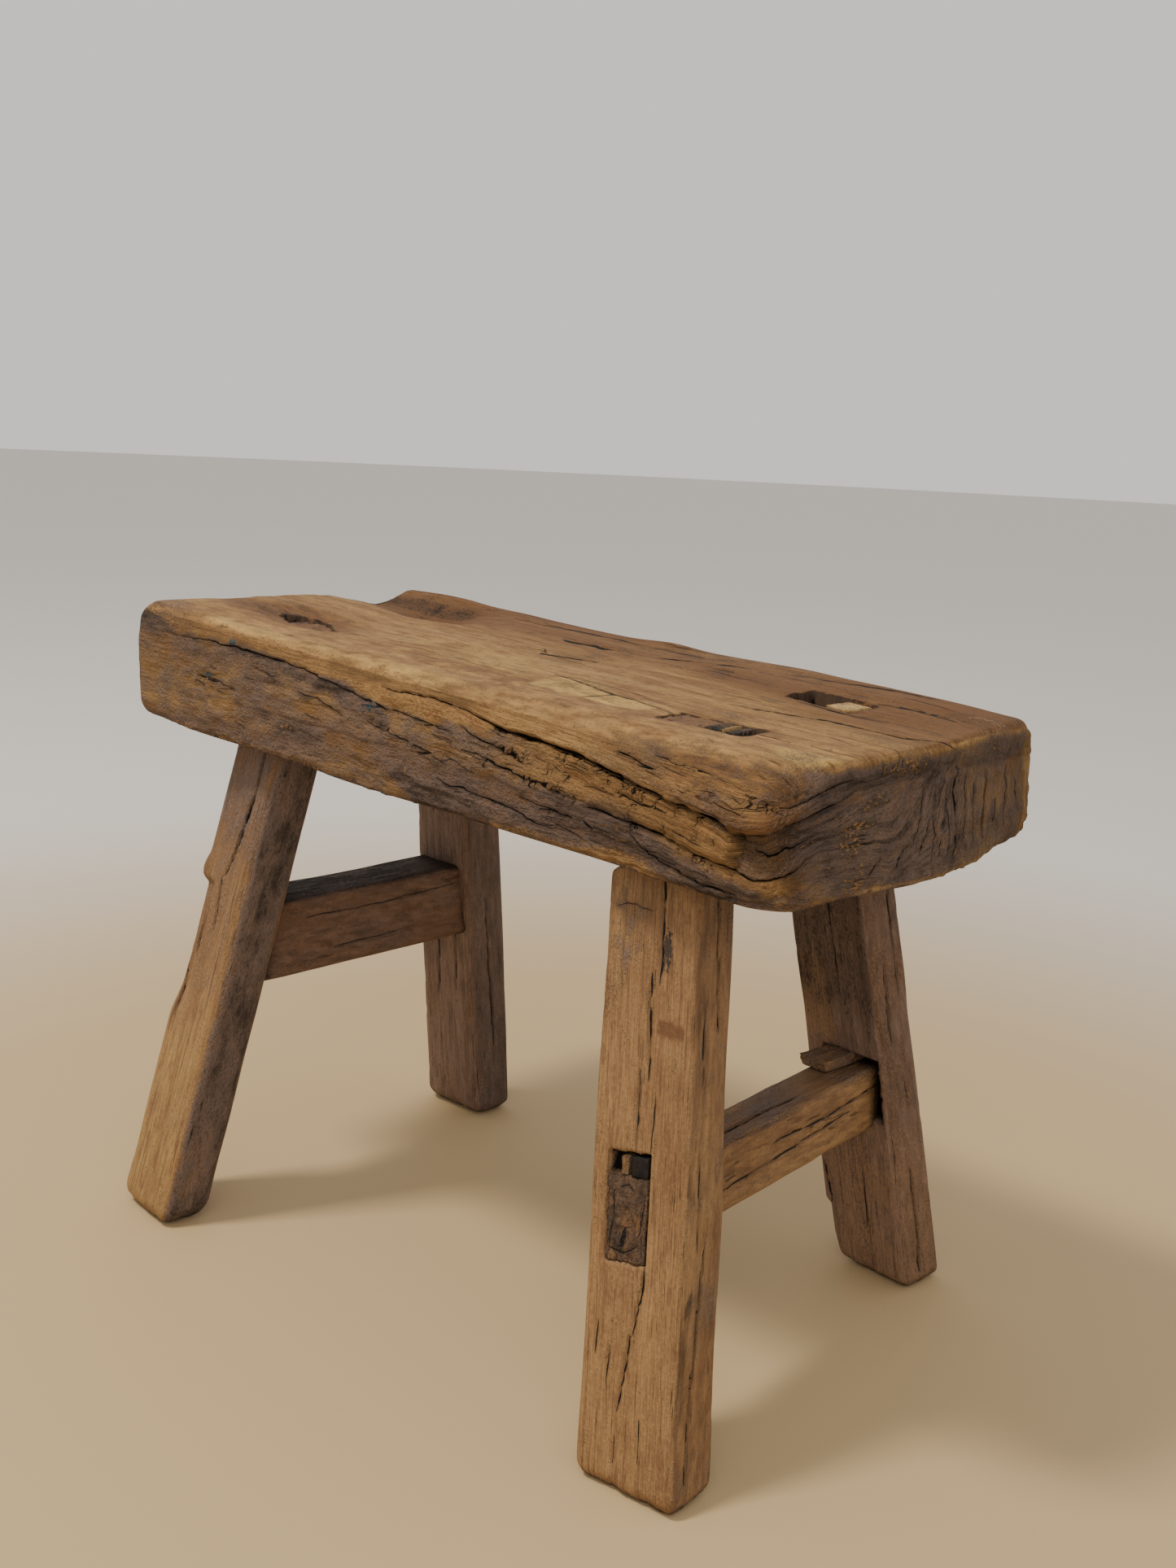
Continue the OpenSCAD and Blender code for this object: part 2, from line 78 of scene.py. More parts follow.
# Each leg: sides of the seat, foot, neck, turn, rounding of its heel, of the rest of its foot and of its
# edges, how far its tenon ends below the seat's top, and its material
LEGS = {
    "leg_front_left": dict(side=(-1, -1), foot=(-120.0, -93.0), neck=(-99.5, -36.0), turn=-7.5,
                           heel=9.0, wear=7.5, edge=5.0, sink=1.6, slot="leg_elm"),
    "leg_front_right": dict(side=(1, -1), foot=(143.0, -88.5), neck=(99.0, -38.5), turn=5.0,
                            heel=5.0, wear=5.5, edge=2.8, sink=0.5, slot="leg_elm"),
    "leg_rear_right": dict(side=(1, 1), foot=(112.5, 94.25), neck=(99.0, 38.5), turn=-3.5,
                           heel=13.0, wear=5.0, edge=3.2, sink=4.5, slot="dark_elm"),
    "leg_rear_left": dict(side=(-1, 1), foot=(-122.0, 82.0), neck=(-99.0, 38.5), turn=-1.0,
                          heel=6.5, wear=6.5, edge=4.6, sink=8.0, slot="dark_elm"),
}


# Number helpers

def ease(low, high, value):
    """Smooth step: 0 at low, 1 at high, and 3t^2 - 2t^3 between them."""
    t = np.clip((value - low) / (high - low), 0.0, 1.0)
    return t * t * (3.0 - 2.0 * t)


def bump(middle, reach, value):
    """Bell curve: 1 at the middle, falling as exp(-d^2) with d in units of the reach."""
    return np.exp(-((value - middle) / reach) ** 2)


def lattice_value(ix, iy, iz, seed):
    """Whole-number lattice points hashed to values from -1 to 1."""
    h = (ix * 374761393 + iy * 668265263 + iz * 1440662683 + seed * 974711) & 0xFFFFFFFF
    h = ((h ^ (h >> 13)) * 1274126177) & 0xFFFFFFFF
    h = h ^ (h >> 16)
    return (h & 0xFFFFFF) / 0x7FFFFF - 1.0


def noise(x, y, z, seed):
    """Value noise: the eight lattice values around a point, blended along each axis by a smooth step."""
    p = np.stack(np.broadcast_arrays(x, y, z)).astype(float)
    cell = np.floor(p).astype(np.int64)
    t = p - cell
    t = t * t * (3.0 - 2.0 * t)
    total = np.zeros(p.shape[1:])
    for dx in (0, 1):
        wx = t[0] if dx else 1.0 - t[0]
        for dy in (0, 1):
            wy = t[1] if dy else 1.0 - t[1]
            for dz in (0, 1):
                wz = t[2] if dz else 1.0 - t[2]
                total += wx * wy * wz * lattice_value(cell[0] + dx, cell[1] + dy, cell[2] + dz, seed)
    return total


def layered(x, y, z, seed, octaves=3):
    """Noise octaves added up, each twice as fine and half as strong as the one before."""
    total = 0.0
    for i in range(octaves):
        total = total + noise(x * 2 ** i, y * 2 ** i, z * 2 ** i, seed + 31 * i) / 2 ** i
    return total


def follow(line, at):
    """Second value of a line of points, read off straight between them at a first value."""
    return np.interp(at, *np.array(line).T)


def shares(*parts):
    """Three shares per vertex, each kept from 0 to 1."""
    return np.clip(np.stack(parts, -1), 0, 1)


# Meshes

def make_piece(name, points, faces, **attributes):
    """A mesh object from points in millimetres, with one vector attribute per vertex for each name given."""
    mesh = bpy.data.meshes.new(name)
    mesh.from_pydata((np.asarray(points) * MM).tolist(), [], [list(f) for f in faces])
    for key, values in attributes.items():
        layer = mesh.attributes.new(key, "FLOAT_VECTOR", "POINT")
        layer.data.foreach_set("vector", np.asarray(values, np.float32).ravel())
    mesh.polygons.foreach_set("use_smooth", np.ones(len(mesh.polygons), bool))
    mesh.update()
    piece = bpy.data.objects.new(name, mesh)
    bpy.context.scene.collection.objects.link(piece)
    return piece


def shell_grid(counts):
    """Surface of a block of lattice points: their whole-number places, and quads that face outwards."""
    shell = np.zeros(counts, bool)
    shell[[0, -1], :, :] = True
    shell[:, [0, -1], :] = True
    shell[:, :, [0, -1]] = True
    number = np.full(counts, -1)
    number[shell] = np.arange(shell.sum())

    def sheet(grid, flip):
        """Quads over one side of the block, turned over if flip is set."""
        quad = np.stack([grid[:-1, :-1], grid[1:, :-1], grid[1:, 1:], grid[:-1, 1:]], -1).reshape(-1, 4)
        return quad[:, ::-1] if flip else quad

    faces = np.concatenate([
        sheet(number[:, :, -1], False), sheet(number[:, :, 0], True),
        sheet(number[:, 0, :], False), sheet(number[:, -1, :], True),
        sheet(number[-1, :, :], False), sheet(number[0, :, :], True)])
    return np.argwhere(shell), faces


def tube_faces(rows, ring):
    """Quads between the rings of a closed tube, and a fan of triangles to a pole past each end."""
    number = np.arange(rows * ring).reshape(rows, ring)
    ahead = np.roll(number, -1, axis=1)
    quads = np.stack([number[:-1], ahead[:-1], ahead[1:], number[1:]], -1).reshape(-1, 4)
    low = np.stack([ahead[0], number[0], np.full(ring, rows * ring)], -1)
    high = np.stack([number[-1], ahead[-1], np.full(ring, rows * ring + 1)], -1)
    return quads.tolist() + low.tolist() + high.tolist()


def with_poles(field):
    """Values on a tube's rings, then the mean of its first ring and of its last."""
    flat = field.reshape(-1, field.shape[-1])
    return np.vstack([flat, field[0].mean(0), field[-1].mean(0)])


def bar_rows(steps, caps):
    """Columns for the rings of a bar: each ring's share of the full section, and its place along the bar.

    The rings at either end shrink by the caps' shares to close it.
    """
    share = np.concatenate([caps, np.ones(len(steps)), caps[::-1]])[:, None]
    t = np.concatenate([np.full(len(caps), steps[0]), steps, np.full(len(caps), steps[-1])])[:, None]
    return share, t


def tube_lot(shape, **fields):
    """Faces of a closed tube of (rows, ring) points, and each field with its values at the two poles."""
    closed = {key: with_poles(field.reshape(*shape, -1)) for key, field in fields.items()}
    return dict(faces=tube_faces(*shape), **closed)


def join_parts(parts):
    """Several lots of points, faces and attributes as one lot."""
    points, faces, start = [], [], 0
    for lot in parts:
        points.append(lot["points"])
        faces += [[i + start for i in f] for f in lot["faces"]]
        start += len(lot["points"])
    keys = [k for k in parts[0] if k not in ("points", "faces")]
    joined = {k: np.vstack([lot[k] for lot in parts]) for k in keys}
    return dict(points=np.vstack(points), faces=faces, **joined)


# Splits in the wood

class Splits:
    """Splits gathered over a surface: signed distance to the nearest one, its half width, and its cut."""

    def __init__(self, count):
        self.offset = np.full(count, 9.0)
        self.half = np.zeros(count)
        self.gap = np.full(count, 9.0)
        self.cut = np.zeros(count)

    def add(self, where, along, across, line, half, depth, wander=0.5, seed=1, taper=5.0):
        """A split along a line of (along, across) points; half width and depth fade out at its ends."""
        pick = np.flatnonzero(where > 0.01)
        along, across, where = along[pick], across[pick], where[pick]
        xs, ys = np.array(line, float).T
        sway = wander * layered(along / 7.0, seed * 3.7, 0.5, seed, 2)
        middle = np.interp(along, xs, ys) + sway
        slope = np.interp(along + 1.0, xs, ys) - np.interp(along - 1.0, xs, ys)
        offset = (across - middle) / np.hypot(1.0, slope / 2.0)
        run = (along - xs[0]) / (xs[-1] - xs[0])
        fade = np.clip(np.minimum(run, 1.0 - run) * taper, 0.0, 1.0) * where
        uneven = np.clip(0.8 + 0.7 * layered(along / 4.5, seed * 1.9, 1.5, seed + 7, 2), 0.5, 1.5)
        width = half * uneven * fade ** 0.7
        gap = np.abs(offset) - width
        nearer = (gap < self.gap[pick]) & (fade > 0.02)
        self.offset[pick] = np.where(nearer, offset, self.offset[pick])
        self.half[pick] = np.where(nearer, width, self.half[pick])
        self.gap[pick] = np.where(nearer, gap, self.gap[pick])
        groove = np.clip(1.0 - (np.abs(offset) / (width + 0.36)) ** 2, 0.0, 1.0)
        self.cut[pick] = np.maximum(self.cut[pick], depth * fade * groove)

    def field(self):
        """Signed distance and half width for the shader's painted shade in the split, the width gone away
        from the split.
        """
        offset = np.clip(self.offset, -4.0, 4.0)
        half = self.half * ease(2.3, 1.3, np.abs(offset))
        return np.stack([offset, half, 0.0 * half], -1)


# The seat plank, worked out on its own axes: u along, v to the rear, w up from the top

# the split along the front and round the corner: distance along the front and round the end, height
MAIN_SHAKE = [(24, -6.5), (32, -7), (51, -10), (65, -10), (85, -11), (106, -15), (126, -18), (144, -20),
              (150, -22), (154, -22), (160, -21), (167, -19), (172, -17.5), (190, -15), (194, -14),
              (202, -12), (214, -7.5)]
LOWER_SHAKE = [(88, -27), (107, -28), (123, -29), (138, -32), (150, -33), (159, -35), (167, -35), (177, -33),
               (185, -29), (194, -26)]
LEFT_SHAKE = [(-138, -9), (-110, -8), (-66, -8), (-37, -10), (-9, -14), (30, -15)]
# upper bound of the crusted ground on the front
EDGE_LINE = [(-170, -4), (-138, -8), (-89, -6), (-65, -8), (-32, -10), (-6, -13), (20, -14), (36, -11),
             (51, -10), (65, -10), (85, -11), (106, -15), (126, -18), (150, -22), (172, -22)]
# sooty band in it: distance along, height of its middle, half its height
DARK_BAND = [(-90, -8, 0.5), (-60, -9.5, 2.5), (-36, -12, 3.5), (-16, -17, 4), (-4, -19, 0.6),
             (-3, -36, 0.6), (16, -40, 5.5), (30, -38, 7), (47, -36, 8), (70, -33, 9), (105, -32, 8.5),
             (128, -38, 6), (150, -42, 5), (172, -46, 4)]
# row of dark pits low on the front
PIT_LINE = [(-90, -26), (-72, -28), (-44, -31), (-22, -35), (-2, -40), (16, -43), (60, -44)]
# lesser splits on the front and round the corner: line, half width, depth
FRONT_SPLITS = [
    (LEFT_SHAKE, 0.28, 1.1),
    ([(-14, -7), (13, -6.2), (30, -7)], 0.28, 1.2),
    ([(29, -12), (40, -15), (50, -17), (67, -18)], 0.31, 1.4),
    ([(30, -19), (42, -21), (56, -23), (78, -25), (88, -26)], 0.31, 1.4),
    ([(102, -19), (113, -21), (125, -21.5)], 0.25, 0.9),
    ([(109, -32), (123, -37), (140, -40), (156, -41)], 0.31, 1.2),
    ([(98, -6), (105, -7), (111, -8), (118, -9)], 0.31, 1.4),
    ([(113, -5), (119, -5), (123, -6), (127, -5), (133, -6), (141, -6)], 0.22, 0.8),
    ([(160, -11), (167, -11), (179, -9), (190, -7), (212, -4)], 0.25, 0.9),
    ([(156, -26), (164, -27.5), (173, -26.5), (190, -22)], 0.28, 0.8),
    ([(-20, -20), (-4, -22), (14, -25), (28, -27)], 0.22, 0.8),
    ([(-60, -17), (-44, -18), (-30, -21)], 0.22, 0.7),
    ([(-125, -22), (-108, -22), (-96, -24)], 0.19, 0.6),
    ([(20, -33), (48, -35), (80, -38)], 0.25, 0.9),
    ([(60, -30), (84, -32), (104, -35)], 0.22, 0.9),
]
# splits on the right end: line of (height, distance across), half width, depth
END_SPLITS = [
    ([(-41, 21), (-37, 22), (-28, 23), (-16, 22), (-8, 23), (-3, 21)], 0.32, 1.2),
    ([(-37, 1), (-29, 5), (-23, 7)], 0.24, 0.9),
    ([(-40, -13), (-30, -5)], 0.24, 0.9),
    ([(-40, -26), (-33, -20)], 0.24, 0.8),
    ([(-31, 46), (-21, 47)], 0.21, 0.7),
    ([(-28, 64), (-16, 61)], 0.21, 0.7),
    ([(-36, 34), (-14, 33)], 0.17, 0.5),
    ([(-40, 12), (-31, 14)], 0.17, 0.5),
    ([(-40, 27), (-22, 28.5), (-8, 28.5)], 0.16, 0.5),
    ([(-38, 39), (-20, 40.5), (-7, 40)], 0.17, 0.5),
    ([(-36, 53), (-18, 54), (-8, 53.5)], 0.16, 0.5),
    ([(-41, 8), (-30, 10), (-14, 9.5)], 0.15, 0.5),
    ([(-34, -3.5), (-20, 1.5), (-10, 3)], 0.15, 0.5),
    ([(-42, 17), (-30, 18), (-12, 17)], 0.15, 0.5),
]
# rear edge of the pale flakes on the top
FLAKE_LINE = [(22, -21), (31, -23.6), (46, -27), (60, -30), (82, -31.5), (92, -34)]
# splits on the top: line of (distance along, distance across), half width, depth
TOP_SPLITS = [
    ([(88, -2), (100, 0), (112, 4), (124, 7.5), (139, 7), (154, 7), (163, 13), (170, 21)], 0.95, 0.4),
    (FLAKE_LINE, 0.50, 0.15),
    ([(30, -18), (52, -21), (70, -23)], 0.30, 0.1),
    ([(-31, 38), (-15, 40.3), (-3, 41.6)], 2.40, 0.6),
    ([(-15, 40.6), (-3, 42)], 3.60, 0.8),
    ([(-16, 8.5), (-7, 11.5), (0, 15), (9, 17)], 1.10, 0.3),
    ([(15, 43), (30, 46.5), (45, 52), (56, 53)], 0.70, 0.25),
    ([(125, -33), (140, -33.5)], 0.40, 0.2),
    ([(-60, 58), (-20, 60), (30, 57)], 0.50, 0.2),
    ([(70, 57), (90, 60.5), (114, 63.5), (130, 64)], 0.60, 0.25),
    ([(118, 44), (134, 45), (152, 44)], 0.40, 0.2),
    ([(98, 24), (116, 22), (138, 22)], 0.40, 0.2),
]
# breaks across the grain of the top: line of (distance across, distance along), half width, depth
TOP_BREAKS = [
    ([(-45, 58.5), (-38, 59.5), (-29, 60.5)], 0.45, 0.15),
    ([(11, -13.5), (15, -17.5), (18, -20.5)], 0.50, 0.4),
]


def unrolled(line):
    """Heights on the worn front edge moved to the flat row that is carried round the edge's arc to them."""
    out = []
    for along, height in line:
        lift = min((height + FRONT_WEAR) / FRONT_WEAR, 0.99)
        flat = -FRONT_WEAR + FRONT_WEAR * math.tan(math.asin(lift)) if lift > 0 else height
        out.append((along, flat))
    return out


MAIN_ROW = unrolled([(-175, -9), (-110, -8.5), (-66, -8), (-11, -7), (13, -6.2)] + MAIN_SHAKE + [(330, -7.5)])
LOWER_ROW = [(-175, -30), (0, -27)] + LOWER_SHAKE + [(230, -27), (330, -28)]


def under_height(u, v):
    """Height of the underside: a plane that leans less than the top and rises toward the rear."""
    return -SEAT_THICK + u * math.tan(SEAT_TAPER) + v * math.tan(REAR_THINNING)


def rear_rise(u, v):
    """How far the top stands above its plane toward the rear, more so right of the middle."""
    return (1.2 + 2.2 * ease(-10, 70, u) - 0.9 * ease(130, 165, u)) * ease(8, 72, v)


def end_drop(u, v):
    """How far the underside hangs below its plane in the middle of the right end."""
    return 3.6 * ease(100, 160, u) * bump(16, 46, v)


def soft_join(a, b, radius):
    """Distance to the meeting of two half spaces whose edge is an arc of that radius."""
    edge = np.hypot(np.maximum(a + radius, 0), np.maximum(b + radius, 0))
    return np.minimum(np.maximum(a, b), -radius) + edge


def plank_distance(u, v, w):
    """Distance to the worn plank: its six leaning faces, joined one after another by arcs of set radii."""
    sway = 0.8 * noise(u / 52, w / 30, 1.5, 11) + 0.4
    front = -v - HALF_WID + sway
    rear = v - HALF_WID + 0.7 * noise(u / 33, w / 20, 4.5, 12) + 0.3
    top = w + 0.5 * noise(u / 45, v / 26, 2.5, 13) + 0.2 - 1.7 * ease(-90, -150, u) - rear_rise(u, v)
    right = u - HALF_LEN + RIGHT_FLARE * w / SEAT_THICK + 0.7 * noise(v / 20, w / 18, 3.5, 14) - 0.5
    left = -u - HALF_LEN + LEFT_FLARE * w / SEAT_THICK + 0.7 * noise(v / 22, w / 18, 5.5, 15) - 1.4
    left = left - 3.6 * np.clip(1 - ((w + 22) / 22) ** 2, 0, 1)
    under = under_height(u, v) - end_drop(u, v) - w + 0.5 * noise(u / 30, v / 24, 6.5, 16)
    low_half = ease(-12, -30, w)
    right_wear = END_WEAR - 4 + (WORN_CORNER - END_WEAR) * ease(-40, -70, v) + 3 * ease(45, 70, v)
    left_wear = END_WEAR - 2 + 3 * low_half
    front_wear = FRONT_WEAR + 4 * ease(40, 130, u) - 7 * ease(-10, -110, u)
    body = soft_join(top, front, front_wear)
    body = soft_join(body, rear, REAR_WEAR)
    body = soft_join(body, right, right_wear)
    body = soft_join(body, left, left_wear)
    lower_wear = LOWER_WEAR + 4 * ease(-120, -160, u)
    lower_wear = lower_wear + 8 * ease(110, 160, u) * ease(30, 70, v)
    return soft_join(body, under, lower_wear)


def spans(*parts):
    """Ticks through several (start, stop, step) spans, each step rounded so that the span is filled."""
    ticks = [np.linspace(a, b, max(1, round((b - a) / step)) + 1)[:-1] for a, b, step in parts]
    return np.append(np.concatenate(ticks), parts[-1][1])


def row_heights(row, run, bottom):
    """Height of a row of the lattice: rows 1 to 3 hug the lower shake, 4 to 6 the main one, 7 is the top."""
    lip = 0.55
    main = follow(MAIN_ROW, run)
    low = follow(LOWER_ROW, run)
    main = main + 0.5 * layered(run / 7, 3.7, 0.5, 1, 2)
    low = low + 0.5 * layered(run / 7, 7.4, 0.5, 2, 2)
    stops = np.stack([bottom, low - lip, low, low + lip, main - lip, main, main + lip, np.zeros_like(run)])
    step = np.minimum(row.astype(int), 6)
    part = row - step
    pick = np.arange(len(run))
    return stops[step, pick] * (1 - part) + stops[step + 1, pick] * part, main, low


def pocket(u, v, middle, half, turn, worn, seed):
    """Distance outside a turned rectangle, or an oval where worn, with crumbled edges; negative inside it."""
    a = math.radians(turn)
    x = math.cos(a) * (u - middle[0]) + math.sin(a) * (v - middle[1])
    y = math.cos(a) * (v - middle[1]) - math.sin(a) * (u - middle[0])
    box = np.maximum(np.abs(x) - half[0], np.abs(y) - half[1])
    if worn:
        box = (np.hypot(x / half[0], y / half[1]) - 1) * half[1]
    return box + (1.3 if worn else 0.7) * layered(u / 3.2, v / 3.2, 0.5, seed, 2)


# middle and half size of each joint as seen on the top, its turn, reach of its crumbled rim, worn to an oval
TOP_JOINTS = [
    ((108.5, -35.2), (16, 7.6), 5, 3.5, False),
    ((106, 34.6), (14, 7.4), -3.5, 3, False),
    ((-110.5, -30), (15, 5.8), -7.5, 4, True),
    ((-108, 36), (15, 7), -1, 4, True),
]
POCKET_DEEP = 14.0
# heights that stand for the lattice's stops in the wood's figure, where the rows bend with the shakes
FLAT_ROWS = [-43.5, -29.75, -29.0, -28.25, -12.75, -12.0, -11.25, 0.0]
# the core inside the plank that rays start from: its ends, its half width, its height over the underside
CORE_ENDS = (-153.0, 155.0)
CORE_HALF_WID = 56.5
CORE_ABOVE = 12.0
RAY_REACH = 34.0
RAY_HALVINGS = 26


def plank_surface():
    """A lattice carried along rays from the plank's core onto its worn surface.

    Gives places on the seat's own axes, normals, a mask for each side, and the wood's own axes.
    """
    u_ticks = spans((-172, -131, 2.4), (-131, -90, 1.15), (-90, -24, 2.2), (-24, 88, 1.35), (88, 174, 1))
    v_ticks = spans((-HALF_WID, -24, 1), (-24, 0, 1.7), (0, 46, 1.1), (46, HALF_WID, 1.5))
    rows = spans((0, 1, 1 / 12), (1, 2, 1), (2, 3, 1), (3, 4, 1 / 13), (4, 5, 1), (5, 6, 1), (6, 7, 1 / 15))
    place, faces = shell_grid((len(u_ticks), len(v_ticks), len(rows)))
    u = u_ticks[place[:, 0]]
    v = v_ticks[place[:, 1]]
    row = rows[place[:, 2]]
    run = u + v + HALF_WID
    bottom = under_height(u, v)
    w, main, low = row_heights(row, run, bottom)
    flat_row = np.interp(row, np.arange(len(FLAT_ROWS)), FLAT_ROWS)

    # rays from the core of the plank to its worn surface
    core_w = np.clip(w, bottom + CORE_ABOVE, -FRONT_WEAR)
    core = np.stack([np.clip(u, *CORE_ENDS), np.clip(v, -CORE_HALF_WID, CORE_HALF_WID), core_w], -1)
    ray = np.stack([u, v, w], -1) - core
    ray /= np.linalg.norm(ray, axis=1)[:, None]
    near = np.zeros(len(u))
    far = np.full(len(u), RAY_REACH)
    for _ in range(RAY_HALVINGS):
        middle = (near + far) / 2
        outside = plank_distance(*(core + ray * middle[:, None]).T) > 0
        far = np.where(outside, middle, far)
        near = np.where(outside, near, middle)
    base = core + ray * near[:, None]
    steps = 0.05 * np.eye(3)
    normal = np.stack([plank_distance(*(base + s).T) - plank_distance(*(base - s).T) for s in steps], -1)
    normal /= np.linalg.norm(normal, axis=1)[:, None]
    n_u, n_v, n_w = normal.T
    upright = {"front": -n_v, "rear": n_v, "right": n_u, "left": -n_u}
    sides = {key: ease(0.35, 0.75, facing) for key, facing in upright.items()}
    sides.update(top=ease(0.5, 0.9, n_w), under=ease(0.5, 0.9, -n_w))
    sides["wrap"] = np.clip(sides["front"] + sides["right"], 0, 1)

    # the wood's own axes: along the grain, across its yearly layers, and along a layer
    bend = np.interp(v, [-75, -45, -15, 8, 25, 75], [4.2, 2.6, 1, 0.4, 0.12, 0.05])
    size = np.hypot(1, bend)
    layer = (v - bend * flat_row) / size
    course = (bend * v + flat_row) / size
    grain = np.stack([u, layer + 1.2 * noise(u / 70, v / 25, w / 25, 21), course / 1.8], -1)
    return SimpleNamespace(
        u=u, v=v, w=w, run=run, bottom=bottom, main=main, low=low, base=base, normal=normal, faces=faces,
        layer=layer, course=course, grain=grain, **sides)


# numbers of random checks: under the main shake, over the front, on the worn corner, on the top, to its rear
HANGING_CHECKS = 44
FRONT_CHECKS, CORNER_CHECKS = 42, 14
TOP_CHECKS, REAR_CHECKS = 12, 12


def plank_splits(p):
    """Every split of the plank: those listed, then fine checks drawn at random."""
    u, v, w, run = p.u, p.v, p.w, p.run
    top, front, right, wrap = p.top, p.front, p.right, p.wrap
    splits = Splits(len(u))
    splits.add(wrap, run, w, unrolled(MAIN_SHAKE), 0.45, 5, 0.5, seed=1, taper=7)
    splits.add(wrap, run, w, unrolled(LOWER_SHAKE), 0.3, 3, 0.5, seed=2, taper=6)
    for i, (line, half, depth) in enumerate(FRONT_SPLITS):
        splits.add(wrap, run, w, unrolled(line), half, depth, 0.8, seed=40 + i)
    for i, (line, half, depth) in enumerate(END_SPLITS):
        splits.add(right, w, v, line, half, depth, 0.4, seed=60 + i)
    over_end = np.maximum(top, right * ease(100, 160, u))
    for i, (line, half, depth) in enumerate(TOP_SPLITS):
        splits.add(over_end, u, v, line, half, depth, 0.4, seed=80 + i)
    for i, (line, half, depth) in enumerate(TOP_BREAKS):
        splits.add(top, v, u, line, half, depth, 0.3, seed=95 + i)

    # short checks across the grain, hanging from the main shake and in the strip below it
    rng = np.random.default_rng(7)
    for i in range(HANGING_CHECKS):
        at = rng.uniform(44, 149)
        hang = follow(MAIN_ROW, at) - rng.choice([0.3, 0.3, 4, 7, 12])
        long = rng.uniform(2.5, 5.5)
        foot, knee = at + rng.uniform(-1.2, 1.2), at + rng.uniform(-0.5, 0.5)
        line = [(hang - long, foot), (hang - long / 2, knee), (hang, at)]
        splits.add(front, w, run, line, rng.uniform(0.09, 0.15), 0.3, 0.15, seed=120 + i, taper=4)

    # fine checks along the grain, over the front and more of them on the worn corner
    for i in range(FRONT_CHECKS + CORNER_CHECKS):
        on_front = i < FRONT_CHECKS
        start = rng.uniform(-135, 140) if on_front else rng.uniform(90, 160)
        high = rng.uniform(-40, -9) if on_front else rng.uniform(-16, -3)
        long = rng.uniform(7, 24)
        fall = rng.uniform(-0.24, -0.06) * long
        line = [(start, high), (start + long / 2, high + fall / 2), (start + long, high + fall)]
        splits.add(wrap, run, w, line, rng.uniform(0.07, 0.13), 0.4, 0.6, seed=200 + i, taper=3)

    # fine checks along the grain of the top, more of them to the rear
    for i in range(TOP_CHECKS + REAR_CHECKS):
        start = rng.uniform(-120, 140)
        side = rng.uniform(-50, 70) if i < TOP_CHECKS else rng.uniform(10, 70)
        long = rng.uniform(14, 46)
        line = [(start, side), (start + long, side + rng.uniform(-0.1, 0.02) * long)]
        splits.add(top, u, v, line, rng.uniform(0.10, 0.20), 0.1, 0.6, seed=300 + i, taper=3)
    return splits


